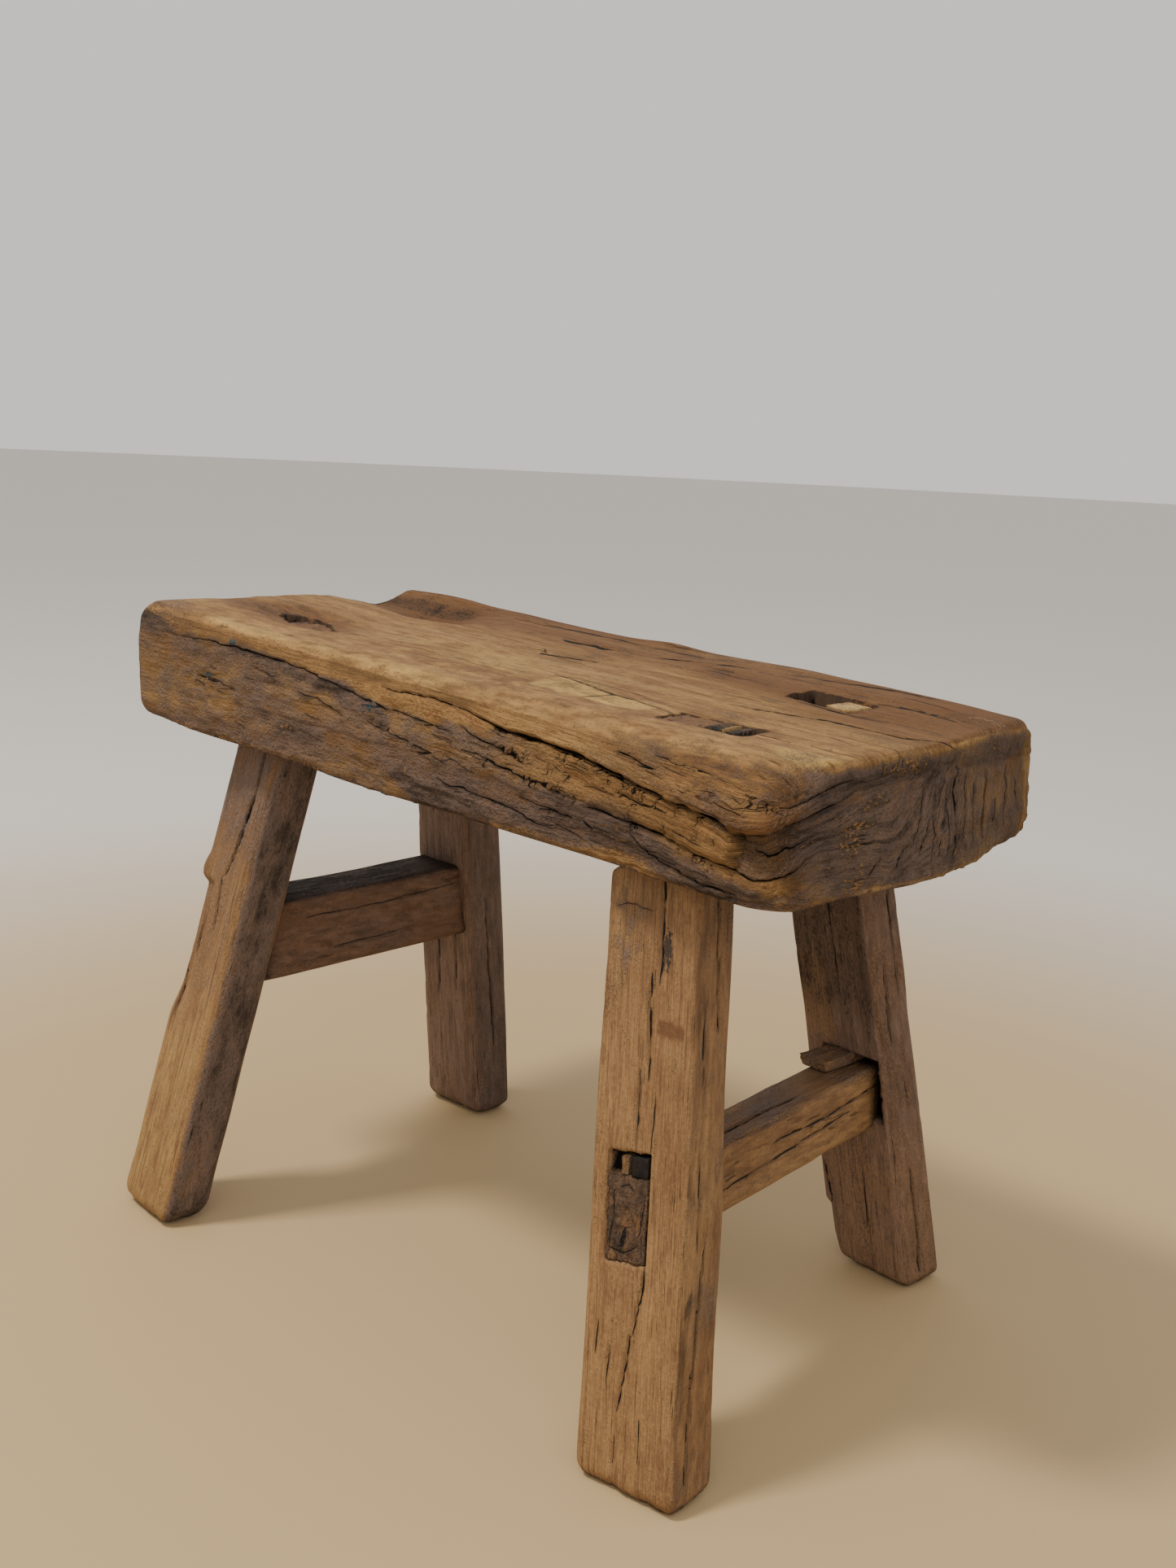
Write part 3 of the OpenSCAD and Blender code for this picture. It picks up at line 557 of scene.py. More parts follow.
def plank_relief(p, splits):
    """How far each point moves out along its normal; keeps the worn places on p for the plank's looks."""
    u, v, w, run, main, low = p.u, p.v, p.w, p.run, p.main, p.low
    top, right, wrap, layer, course = p.top, p.right, p.wrap, p.layer, p.course
    n_u, _, n_w = p.normal.T
    below = main - w
    move = np.zeros(len(u))

    # wood set back under each shake, and the lip that stands over the main one
    strip = ease(10, 50, run) * (1 - ease(149, 152, run))
    move -= wrap * strip * 1.6 * ease(0, 0.9, below) * np.exp(-np.maximum(below, 0) / 7)
    lower = low - w
    lower_strip = ease(80, 120, run) * (1 - ease(150, 160, run))
    move -= wrap * lower_strip * ease(0, 0.9, lower) * np.exp(-np.maximum(lower, 0) / 5)
    move += wrap * 1.1 * bump(3.5, 3.2, -below) * ease(100, 145, run) * (1 - ease(176, 200, run))

    # the room left by the strip that broke off under the corner
    edge = 150 + 1.6 * layered(w / 3, 0.5, 0.5, 23, 2)
    share = np.clip(below / np.maximum(main - low, 1), 0, 1.3)
    gone = ease(-0.6, 0.6, run - edge) * (1 - ease(172, 200, run)) * ease(0, 1, below)
    gone = gone * (1 - 0.85 * ease(0.45, 1.1, share))
    move -= wrap * 7 * gone

    # ridges, crumbs, flutes and chips left by the weather
    ridges = layered(u / 48, p.grain[:, 1] / 2.3, course / 26, 24, 3)
    wash = ease(-172, -140, u) * (0.35 + 0.25 * ease(-10, -24, w)) * (wrap - 0.75 * right)
    wash *= 0.55 + 0.45 * ease(-30, 60, run)
    wash += 0.22 * top + 0.3 * p.under + 0.14 * p.left + 0.3 * p.rear
    move += wash * ridges
    crumbs = layered(u / 5, v / 5, w / 3, 25, 3) * ease(-1, -9, w) * ease(-168, -145, u)
    move += (0.68 - 0.18 * ease(-30, 60, run)) * wrap * crumbs
    move += 0.5 * top * noise(u / 38, v / 9, 0.5, 26)
    flutes = noise(layer / 3.4, course / 40, 0.5, 27)
    move += 0.35 * right * flutes * ease(-60, -20, v)
    chips = np.maximum(layered(u / 9, v / 9, 0.5, 28, 2) - 0.25, 0)
    lower_edge = ease(9, 2, w - p.bottom) * ease(0.95, 0.6, np.abs(n_w))
    move -= 2.2 * chips * lower_edge
    end_rim = ease(0.3, 0.6, n_u) * ease(-10, -3, w)
    move -= 1.1 * end_rim * np.maximum(layered(v / 4, w / 3, 0.5, 29, 2), 0)

    # hollow worn over the rear left joint, and the rim left standing behind it
    dish = bump(47, 19, v) * ease(-78, -118, u)
    move -= 6.4 * dish * ease(0, 0.6, n_w)
    move += top * bump(72, 9, v) * (3.2 * bump(-124, 36, u) + 1.9 * bump(1, 17, u))
    # broad dent over the front edge
    move -= 1.8 * bump(97, 3, u) * bump(-69, 6, v) * ease(-12, -5, w)

    # pockets of the joints, and the worn ground round them
    sunk = np.zeros(len(u))
    rim = np.zeros(len(u))
    dim = np.zeros(len(u))
    for i, (middle, half, turn, reach, worn) in enumerate(TOP_JOINTS):
        out = pocket(u, v, middle, half, turn, worn, 90 + i)
        sunk = np.maximum(sunk, top * ease(0.5, -0.5, out))
        ring = 1.2 if worn else 0.3
        dim = np.maximum(dim, (0.5 if worn else 1) * top * ease(ring + 1.4, ring, out))
        rim = np.maximum(rim, top * np.exp(-np.maximum(out, 0) / reach))
        if worn:
            move -= 1.5 * top * bump(0, 7, np.maximum(out, 0))
    move -= 0.7 * rim * (0.6 + 0.6 * noise(u / 3, v / 3, 0.5, 30))
    move = move - splits.cut
    move = np.where(sunk > 0.02, move * (1.0 - sunk) - POCKET_DEEP * sunk, move)
    # painted shade: the bottom of a pocket is painted as dark as the inside of a split
    splits.offset = np.where(sunk > 0.2, 0.0, splits.offset)
    splits.half = np.where(sunk > 0.2, 1.0, splits.half)
    p.below, p.edge, p.share, p.gone, p.dish, p.rim, p.dim = below, edge, share, gone, dish, rim, dim
    return move


def plank_looks(p):
    """Finish and stain of the plank: rubbed golden, weathered grey, and grime with painted shade under the
    lip and on the broken strip's end, then pale, rust and paint.
    """
    u, v, w, run, bottom, z = p.u, p.v, p.w, p.run, p.bottom, p.base[:, 2]
    top, front, right, left, wrap = p.top, p.front, p.right, p.left, p.wrap
    below, edge, share = p.below, p.edge, p.share
    patch = layered(u / 26, v / 18, w / 11, 33, 3)
    spot = layered(u / 8, v / 8, w / 5, 34, 3)
    edge_line = follow(unrolled(EDGE_LINE), run)
    along, middle, half = np.array(DARK_BAND).T
    dark_away = np.abs(w - np.interp(run, along, middle) + 1.6 * spot) / np.interp(run, along, half)
    pit_away = w - follow(PIT_LINE, run) + 1.5 * spot
    crust = front * ease(2, -2, w - edge_line + 2 * spot)
    sooty = front * ease(1.45, 0.6, dark_away + 0.25 * patch) * ease(-118, -86, run)
    pits = front * bump(0, 2.6, pit_away) * ease(-95, -70, run) * ease(70, 20, run)
    near_end = ease(20, 100, run)
    facing = right * ease(176, 202, run)
    rounding = wrap * ease(70, 140, run) * (1 - facing) * (1 - crust)
    nose = top * ease(90, 150, u) * ease(-20, -60, v)
    low_rim = ease(5.5, 2, w - bottom + 1.5 * spot)
    between = ease(0, 1, below) * ease(1.1, 0.9, share)
    hollow = wrap * ease(0, 1.5, run - edge) * ease(205, 180, run) * between
    lip = wrap * bump(2.5, 3, -below) * ease(130, 150, run) * ease(185, 172, run)

    # rubbed golden
    golden = front * (1 - crust) * (0.6 - 0.45 * near_end)
    golden += front * crust * (0.05 + 0.49 * near_end) * (1 - 0.8 * sooty) * (1 - 0.6 * hollow)
    golden = golden * (1 - facing) + 0.34 * front * low_rim * (1 - sooty) + 0.2 * right * (1 - facing)
    below_top = rear_rise(u, v) - z - 0.8 * spot
    above_low = z - bottom + end_drop(u, v)
    top_rim = 0.14 * ease(5, 2.5, below_top) * ease(-30, 20, v)
    low_chips = 0.5 * ease(3, 1, above_low + spot) * ease(-45, 5, v)
    speck_line = np.interp(w, [-40, -18, -9, -3], [-35, -35, -16, -10])
    rear_rim = ease(66, 71, v + spot)
    golden += facing * (top_rim + low_chips + 0.4 * rear_rim + 0.28 * bump(0, 16, v - speck_line))
    golden += 0.4 * top * ease(-52, -70, v) * ease(60, -60, u)
    golden += 0.1 * top * ease(120, 160, u) * (1 - nose)

    # weathered grey
    weathered = crust * (0.58 - 0.4 * near_end) + (0.32 + 0.18 * near_end) * sooty
    weathered += 0.36 * rounding + 0.3 * nose + 0.34 * hollow
    weathered += 0.2 * front * (1 - crust) * ease(70, 10, u)
    end_grey = facing * ease(1.5, 4.5, below_top) * (0.35 + 0.65 * ease(0.5, 3.5, above_low))
    weathered += (0.8 - 0.24 * ease(5, 40, v)) * end_grey * (1 - 0.6 * rear_rim)
    left_corner = (1 - left) * ease(-118, -150, u) * ease(-48, -66, v)
    left_corner = left_corner * ease(-14, -2, w + 3 * spot)
    weathered += 0.55 * left + 0.5 * p.rear + 0.6 * p.under + 0.5 * left_corner

    # grime, with painted shade in the hollow under the lip and on the broken end of the strip
    grime = 0.7 * p.rim ** 2 + 0.3 * p.under + (0.2 + 0.3 * near_end) * sooty
    # painted shade in the top of the hollow, under the overhanging lip
    grime += 0.5 * p.gone * ease(3, 0, below)
    grime += 1.2 * p.dim + 0.26 * facing * ease(25, -10, v) + 0.42 * pits
    grime += 0.14 * rounding + 0.15 * lip + 0.12 * nose
    # painted shadow on the broken end of the strip, which faces away from the light
    grime += 0.6 * wrap * bump(0.4, 1, run - edge) * between
    # darker in the hollow over the rear left joint, most of all in a lens in front of the raised rim behind
    # it
    lens = top * ease(-62, -112, u) * bump(57, 3 + 5 * ease(-66, -116, u), v)
    grime += 0.5 * lens + 0.3 * p.dish * top

    # pale, rust and paint
    front_edge = np.maximum(0.5 * front * (1 - crust), top * ease(-54, -68, v))
    pale = 0.58 * front_edge * ease(60, 0, u) + 0.35 * facing * ease(5, 35, v)
    flakes = ease(28, 38, u) * ease(86, 78, u) * ease(-47, -42, v + spot)
    flakes = flakes * ease(0.4, -0.8, v - follow(FLAKE_LINE, u))
    pale += 1.1 * top * flakes
    pale += 0.55 * top * bump(-10, 75, u) * bump(-22, 34, v)
    pale += 0.9 * top * bump(158, 18, u) * bump(-48, 13, v) - 0.5 * left_corner
    rust = top * (0.66 * ease(4, 48, v) + 1.3 * bump(-121, 40, u) * bump(-31, 18, v))
    rust += top * ease(-70, -112, u) * bump(56, 15, v)
    rust += 0.6 * top * bump(72, 20, u) * bump(36, 9, v)
    rust += 0.4 * top * bump(128, 16, u) * bump(36, 14, v)
    rust += 0.4 * top * ease(70, 130, u) * ease(-20, 5, v)
    rust += 0.42 * rounding + 0.25 * nose + 0.2 * lip + 0.3 * right * (1 - facing)
    paint = front * (bump(-116, 4, u) * bump(-21, 1.6, w) + bump(-100, 3, u) * bump(-5, 2, w)
                     + 0.75 * bump(-16, 4, u) * bump(-15, 2.5, w))
    return shares(golden + 0.2 * patch, weathered + 0.25 * patch, grime), shares(pale, rust, paint)


def seat_plank():
    """The plank: its worn surface, cut back and raised, turned from the seat's own axes to the stool's."""
    p = plank_surface()
    splits = plank_splits(p)
    move = plank_relief(p, splits)
    finish, stain = plank_looks(p)
    px, py, pz = (p.base + p.normal * move[:, None]).T
    c, s = math.cos(SEAT_SLOPE), math.sin(SEAT_SLOPE)
    world = np.stack([SEAT_SHIFT + c * px + s * pz, py, SEAT_HEIGHT - s * px + c * pz], -1)
    return dict(points=world, faces=p.faces.tolist(), grain=p.grain, split=splits.field(), finish=finish,
                stain=stain)


# Legs, rails and small blocks

def neck_height(x):
    """Height of the seat's top over a place along the stool."""
    return SEAT_HEIGHT - (x - SEAT_SHIFT) * math.tan(SEAT_SLOPE)


def shoulder_height(x, y):
    """Height of the seat's underside over a place on the floor."""
    fall = (x - SEAT_SHIFT) * math.tan(SEAT_SLOPE - SEAT_TAPER)
    return SEAT_HEIGHT - SEAT_THICK - fall + y * math.tan(REAR_THINNING)


def leg_place(leg, x, y, z):
    """World place of a point given across, deep and up on a leaning, turned leg."""
    rise = z / neck_height(leg["neck"][0])
    a = math.radians(leg["turn"])
    wx = leg["foot"][0] + (leg["neck"][0] - leg["foot"][0]) * rise + math.cos(a) * x - math.sin(a) * y
    wy = leg["foot"][1] + (leg["neck"][1] - leg["foot"][1]) * rise + math.sin(a) * x + math.cos(a) * y
    return wx, wy, z + 0 * wx


def rounded_ring(wide_steps, deep_steps, arc_steps):
    """A rounded rectangle as core places from -1 to 1 and outward directions, counter-clockwise."""
    core_x, core_y, angle = [], [], []
    corners = [(1, 1), (-1, 1), (-1, -1), (1, -1)]
    for i, (cx, cy) in enumerate(corners):
        turn = np.linspace(0, 90, arc_steps) + 90 * i
        nx, ny = corners[(i + 1) % 4]
        steps = wide_steps if i % 2 == 0 else deep_steps
        part = np.arange(1, steps) / steps
        core_x.append(np.concatenate([np.full(arc_steps, cx), cx + (nx - cx) * part]))
        core_y.append(np.concatenate([np.full(arc_steps, cy), cy + (ny - cy) * part]))
        angle.append(np.concatenate([turn, np.full(steps - 1, turn[-1])]))
    a = np.radians(np.concatenate(angle))
    return np.concatenate(core_x), np.concatenate(core_y), np.cos(a), np.sin(a)


# outward directions of a leg's faces, and of a rail's top and underside
FACE_DIRECTIONS = {"front": (0, -1), "rear": (0, 1), "right": (1, 0), "left": (-1, 0), "top": (0, 1),
                   "under": (0, -1)}


def bar_points(x, y, along, n_x, n_y, share):
    """A bar's rings as flat lists: places, outward directions, and masks of its skin, edges and faces."""
    shape = x.shape
    x, y, along, n_x, n_y = [np.broadcast_to(a, shape).ravel() for a in (x, y, along, n_x, n_y)]
    skin = np.broadcast_to(np.where(share < 1.0, 0.0, 1.0), shape).ravel()
    corner = ease(0.85, 0.72, np.maximum(np.abs(n_x), np.abs(n_y)))
    face = {k: ease(0.6, 0.9, n_x * d[0] + n_y * d[1]) * skin for k, d in FACE_DIRECTIONS.items()}
    return SimpleNamespace(shape=shape, x=x, y=y, along=along, n_x=n_x, n_y=n_y, skin=skin, corner=corner,
                           face=face)


def bar_splits(p, lines, wander, seed):
    """Splits along a bar: each line runs along one of its faces."""
    splits = Splits(len(p.x))
    for i, (side, line, half, depth) in enumerate(lines):
        across = p.y if side in ("right", "left") else p.x
        splits.add(p.face[side], p.along, across, line, half, depth, wander, seed=seed + i)
    return splits


def bar_relief(p, seed, swell, swell_size, ridge_long, nick, nick_long, nick_from):
    """How far a bar's points move out: broad swells, ridges along the grain, and nicks in the edges.

    swell_size is the swells' length and width; nicks are where their noise passes nick_from.
    """
    long, wide = swell_size
    move = swell * noise(p.along / long, p.x / wide, p.y / wide, seed + 1)
    move = move + 0.22 * layered(p.along / ridge_long, p.x / 2.2, p.y / 2.2, seed + 2, 3)
    nicks = layered(p.along / nick_long, p.x / 12, p.y / 12, seed + 3, 2) - nick_from
    return move - nick * p.corner * np.maximum(nicks, 0)


# splits of each leg: face, line of (height, distance across the face), half width, depth
LEG_SPLITS = {
    "leg_front_right": [
        ("front", [(154, 4.9), (173, 4.4), (196, 4.4)], 0.30, 1.8),
        ("front", [(124, 2.4), (137, 1.8), (150, 1.3), (160, 1.7)], 0.30, 1.7),
        ("front", [(101, -1.1), (118, -1.3), (129, -1.4)], 0.20, 1),
        ("front", [(103, 4.4), (114, 4.9), (123, 5.2)], 0.17, 0.8),
        ("front", [(48, 1.2), (64, 3.9), (71, 4.3)], 0.23, 1.2),
        ("front", [(24, -3.4), (36, -1.6), (50, 0.4)], 0.23, 1.2),
        ("front", [(8, -4.5), (18, -4)], 0.17, 0.7),
        ("front", [(30, -8), (44, -7.4)], 0.15, 0.6),
        ("front", [(12, 5.5), (26, 5.2)], 0.15, 0.6),
        ("front", [(38, -13), (50, -12.6)], 0.15, 0.6),
        ("right", [(137, 3.4), (161, 2.1), (195, 0.4)], 0.26, 1.5),
        ("right", [(133, -4.2), (151, -4.6)], 0.17, 0.8),
        ("right", [(74, -3.3), (88, -3.2), (104, -3.7)], 0.20, 1),
        ("right", [(36, -2.6), (66, -0.7), (79, 0.7)], 0.26, 1.5),
        ("right", [(8, -5.4), (24, -4.2), (42, -3.4)], 0.26, 1.4),
    ],
    "leg_front_left": [
        ("front", [(141, 1), (152, 4.1), (164, 5.9), (175, 8), (199, 8)], 0.90, 3),
        ("front", [(119, 2.6), (133, 0.3), (142, -1)], 0.36, 1.4),
        ("front", [(98, -6), (111, -11), (123, -9.1), (138, -7)], 0.33, 1.2),
        ("front", [(80, -12), (92, -13), (104, -14.6)], 0.53, 1.8),
    ],
    "leg_rear_right": [
        ("right", [(104, -3.2), (118, -3), (138, -2.4)], 0.26, 1.2),
        ("right", [(6, -3), (25, -1.3), (53, -1.4)], 0.46, 2),
        ("front", [(20, 2), (48, 3)], 0.20, 0.8),
        ("front", [(26, -15), (46, -16.4)], 0.40, 1.5),
        ("right", [(120, 4), (180, 5)], 0.20, 0.8),
        ("front", [(120, 3), (170, 1)], 0.17, 0.6),
    ],
    "leg_rear_left": [
        ("front", [(60, 6), (120, 8)], 0.20, 0.8),
        ("front", [(60, -6), (100, -4)], 0.23, 0.9),
        ("right", [(30, 1), (110, -2)], 0.20, 0.8),
        ("front", [(150, -4), (190, -5)], 0.20, 0.8),
    ],
}
# openings in each leg: face, middle (across, height), half size, depth, rise per millimetre across
LEG_POCKETS = {
    "leg_front_right": [("front", (-3.5, 85.2), (7.5, 15.9), 7, 0.14)],
    "leg_rear_right": [("front", (3.6, 85.4), (12.2, 12.8), 7, 0),
                       ("rear", (0, 81), (7.2, 12), 7, 0)],
}


def leg_section(leg, seed):
    """A rounded rectangle carried up a leg, rounded in at the foot and closed at both ends."""
    core_x, core_y, n_x, n_y = rounded_ring(wide_steps=38, deep_steps=22, arc_steps=6)
    heights = np.concatenate([[0, 0.4, 0.8, 1.3, 2, 2.8], np.linspace(3.6, SHAFT_TOP, 176)])
    share, t = bar_rows(heights / SHAFT_TOP, np.array([0.25, 0.5, 0.75]))
    z = t * SHAFT_TOP
    half_w = (FOOT_W + (NECK_W - FOOT_W) * t) / 2
    half_d = LEG_D / 2 + 0 * t
    edge = leg["edge"] + 0.9 * noise(z / 22, 0.5, 0.5, seed)
    x = core_x * (half_w - edge) + n_x * edge
    y = core_y * (half_d - edge) + n_y * edge
    wear = leg["wear"]
    heel = np.where(x < 0, leg["heel"], wear)
    draw_x = heel - np.sqrt(np.maximum(heel ** 2 - np.maximum(heel - z, 0) ** 2, 0))
    draw_y = wear - np.sqrt(np.maximum(wear ** 2 - np.maximum(wear - z, 0) ** 2, 0))
    x = x * (1 - draw_x / half_w) * share
    y = y * (1 - draw_y / half_d) * share
    return bar_points(x, y, z, n_x, n_y, share)


def leg_relief(name, p, seed):
    """How far each point of a leg moves out, and its splits; keeps the openings on p for the leg's looks."""
    fx, fy, fz, skin, face = p.x, p.y, p.along, p.skin, p.face
    splits = bar_splits(p, LEG_SPLITS[name], 0.35, seed + 200)
    if name == "leg_front_right":
        # a line scribed across the grain
        scribed = [(-15, 181.4), (-9, 182), (-4, 181.2), (2, 181)]
        splits.add(face["front"], fx, fz, scribed, 0.13, 0.2, 0.3, seed=seed + 230)
    move = bar_relief(p, seed, swell=0.55, swell_size=(40, 26), ridge_long=42, nick=2, nick_long=8,
                      nick_from=0.35)
    foot_nicks = np.maximum(layered(fx / 5, fy / 5, 0.5, seed + 4, 2), 0) * ease(7, 1, fz)
    move -= 1.2 * foot_nicks
    opened = np.zeros(len(fx))
    around = np.zeros(len(fx))
    for i, (side, middle, half, depth, rise) in enumerate(LEG_POCKETS.get(name, [])):
        level = middle[1] + rise * (fx - middle[0])
        box = np.maximum(np.abs(fx - middle[0]) - half[0], np.abs(fz - level) - half[1])
        box = box + 0.25 * layered(fx / 2.5, fz / 2.5, 0.5, seed + 5 + i, 2)
        opened = np.maximum(opened, face[side] * depth * ease(0.8, -0.5, box))
        around = np.maximum(around, face[side] * np.exp(-np.maximum(box, 0) / 0.7))
    # painted shade: the inside of an opening is painted as dark as the inside of a split
    splits.offset = np.where(opened > 0.6, 0.0, splits.offset)
    splits.half = np.where(opened > 0.6, 1.0, splits.half)
    if name == "leg_front_left":
        # a step where a strip has split away from the outer edge
        gone = ease(139, 135, fz) * ease(78, 96, fz) * ease(-4, -9, fx)
        move -= 2.4 * gone * skin
        move += 1.6 * bump(142, 5, fz) * ease(-11, -17, fx) * skin
    if name == "leg_rear_right":
        move -= 1.8 * ease(28, 24, fz) * ease(-12, -17, fx) * skin
    p.opened, p.around = opened, around
    return (move - splits.cut - opened) * skin, splits


def leg_shaft(name, seed):
    """A leg: its section with its relief, set on its leaning axis and cut off by the seat."""
    leg = LEGS[name]
    p = leg_section(leg, seed)
    move, splits = leg_relief(name, p, seed)
    fx = p.x = p.x + p.n_x * move
    fy = p.y = p.y + p.n_y * move
    fz = p.along
    # the top follows the underside of the seat, but for a worn front corner
    chip = np.zeros(len(fx))
    if name == "leg_front_right":
        part = np.clip((-5 - fx) / 13, 0, 0.99)
        chip = 9 * (1 - np.sqrt(1 - part ** 2)) + 2.5 * ease(-2, -11, fy)
        chip = chip * (1 + 0.35 * layered(fx / 4, fy / 4, 0.5, seed + 8, 2))
    wx, wy, _ = leg_place(leg, fx, fy, fz)
    for _ in range(3):
        reach = shoulder_height(wx, wy) + 0.6 - chip - STRETCH_FROM
        past = np.maximum(fz - STRETCH_FROM, 0) / (SHAFT_TOP - STRETCH_FROM)
        height = np.minimum(fz, STRETCH_FROM) + past * reach
        wx, wy, _ = leg_place(leg, fx, fy, height)
    world = np.stack([wx, wy, np.maximum(height, 0)], -1)
    finish, stain = leg_looks(name, p, seed)
    grain = np.stack([fz + 300 * seed, fx + 0.6 * noise(fz / 60, fx / 15, 0.5, seed + 7), fy], -1)
    return tube_lot(p.shape, points=world, grain=grain, split=splits.field(), finish=finish, stain=stain)


def leg_looks(name, p, seed):
    """Finish and stain of a leg: worn, grey, and grime with painted shade inside its openings, then pale,
    rust and daubs.
    """
    fx, fy, fz = p.x, p.y, p.along
    front, right = p.face["front"], p.face["right"]
    patch = layered(fz / 30, fx / 14, fy / 14, seed + 6, 3)
    worn = 0.4 * p.corner * p.skin + 0.3 * front + 0.25 * patch
    grey = 0.42 * right + 0.25 * p.face["rear"] + 0.2 * p.face["left"] + 0.2 * patch
    # grime at the foot and round the openings; darker toward the top, just under the seat
    grime = 0.9 * ease(5, 0.5, fz) + 0.5 * p.around + 0.25 * ease(184, SHAFT_TOP, fz)
    # painted shade inside the openings
    grime = grime + ease(0.5, 2, p.opened)
    rust = 0.3 * patch
    daub = np.zeros(len(fx))
    pale = 0.16 * front * ease(50, 70, fz)
    if name == "leg_front_right":
        scuff = 0.55 + 0.5 * layered(fx / 3, fz / 7, 0.5, seed + 9, 3)
        grey += scuff * front * bump(-9, 9, fx) * bump(172, 18, fz) - 0.2 * right
        daub = 0.92 * bump(7, 2.2, fx) * bump(168.5, 9, fz) * front
        rust = rust + 1.2 * front * ease(4, 5.5, fx) * ease(16, 14.5, fx) * bump(142, 2.4, fz)
        rust = rust + 0.9 * bump(-17, 2, fx) * bump(147, 8, fz)
        rust = rust + 0.5 * front * ease(0, 9, fx) * bump(105, 38, fz)
    if name == "leg_front_left":
        grey += front * (0.26 * ease(60, 120, fz) + 0.25 * ease(150, 165, fz))
        grey += 0.42 * right
        worn -= 0.25 * front * ease(140, 150, fz)
        rust = rust + 0.4 * front * ease(135, 165, fz)
        pale += front * (0.45 * ease(110, 50, fz) - 0.16 * ease(100, 130, fz))
        daub = 0.5 * right * bump(-5.5, 1.5, fy) * bump(185, 3.5, fz)
    if name == "leg_rear_right":
        worn += 0.4 * (front + right) * ease(80, 45, fz) + 0.42 * right
        grey -= 0.2 * right
        rust = rust + 0.45 * right
        worn -= 0.3 * front * ease(90, 125, fz)
        grime += 0.7 * front * ease(90, 125, fz)
        worn += 0.9 * ease(140, 134, fz) * ease(96, 110, fz) * ease(0, -5, fx) * front
    return shares(worn, grey, grime), shares(pale, rust, daub)


def rough_block(corner, size, seed, edge=0.6, rough=0.25, along=2, worn=0.3, grey=0.3, grime=0.3,
                rust=0.0, cracks=()):
    """A small worn block: a rounded box with its faces roughened by noise, then carried to its place.

    corner is a function of three arrays from -1 to 1 that gives world places; size is the block's size in mm.
    cracks are lines on its front end: whether each runs up the end or across it, its line, its half width.
    """
    counts = [int(np.clip(n / 0.8, 6, 30)) + 1 for n in size]
    place, faces = shell_grid(counts)
    half = np.array(size) / 2
    box = (place / (np.array(counts) - 1) * 2 - 1) * half
    inner = np.clip(box, -half + edge, half - edge)
    out = box - inner
    out /= np.linalg.norm(out, axis=1)[:, None]
    skin = inner + out * edge
    stretch = np.full(3, 1.6)
    stretch[along] = 9
    p = skin / stretch
    skin = skin + out * (rough * layered(p[:, 0], p[:, 1], p[:, 2], seed, 3) - rough)[:, None]
    world = np.stack(corner(*(skin / half).T), -1)
    order = [along] + [i for i in range(3) if i != along]
    grain = skin[:, order] + 170 * seed
    patch = layered(skin[:, 0] / 5, skin[:, 1] / 5, skin[:, 2] / 5, seed + 1, 2)
    rim = 1 - np.abs(out).max(1) ** 4
    splits = Splits(len(skin))
    for i, (way, line, wide) in enumerate(cracks):
        run, off = (skin[:, 2], skin[:, 0]) if way == "up" else (skin[:, 0], skin[:, 2])
        # these cracks are not cut, only painted as dark lines of shade
        splits.add(ease(0.5, 0.8, -out[:, 1]), run, off, line, wide, 0, 0.4, seed=seed + 20 + i)
    finish = shares(worn + 0.3 * patch, grey + 0.3 * patch, grime + 0.4 * rim)
    return dict(points=world, faces=faces.tolist(), grain=grain, split=splits.field(), finish=finish,
                stain=np.zeros((len(skin), 3)) + [0.0, rust, 0.0])


# height of a tenon end or wedge as a block, and how far over the seat's underside it starts
STUB_HIGH = 30.0
STUB_ABOVE = 10.0


def seat_joint_block(leg, x0, x1, sink, seed, deep=0.0, drop=0.0, **looks):
    """A tenon end or wedge in the seat: a leaning bar between two places across, up near the seat's top."""
    y_mid = -leg["side"][1] * TENON_IN
    half_d = TENON_D / 2 - 0.5 - deep
    low = SEAT_HEIGHT - SEAT_THICK + STUB_ABOVE

    def corner(a, b, c):
        """World place for shares across, deep and up, each from -1 to 1."""
        x = (x0 + x1) / 2 + (x1 - x0) / 2 * a
        y = y_mid + half_d * b
        wx, _, _ = leg_place(leg, x, y, SEAT_HEIGHT)
        up = low + (neck_height(wx) - sink + drop * a - low) * (c + 1) / 2
        return leg_place(leg, x, y, up)

    return rough_block(corner, (abs(x1 - x0), 2 * half_d, STUB_HIGH), seed, **looks)


def face_block(leg, across, heights, depths, seed, rise=0.0, **looks):
    """A block that comes out at a leg's face, between two places across, two heights and two depths.

    rise is how much it climbs per millimetre across.
    """
    spots = np.array([across, depths, heights])
    middle = spots.mean(1)
    half = (spots[:, 1] - spots[:, 0]) / 2

    def corner(a, b, c):
        """World place for shares across, deep and up, each from -1 to 1."""
        x = middle[0] + half[0] * a
        y = middle[1] + half[1] * b
        return leg_place(leg, x, y, middle[2] + half[2] * c + rise * half[0] * a)

    return rough_block(corner, 2 * half, seed, along=1, **looks)


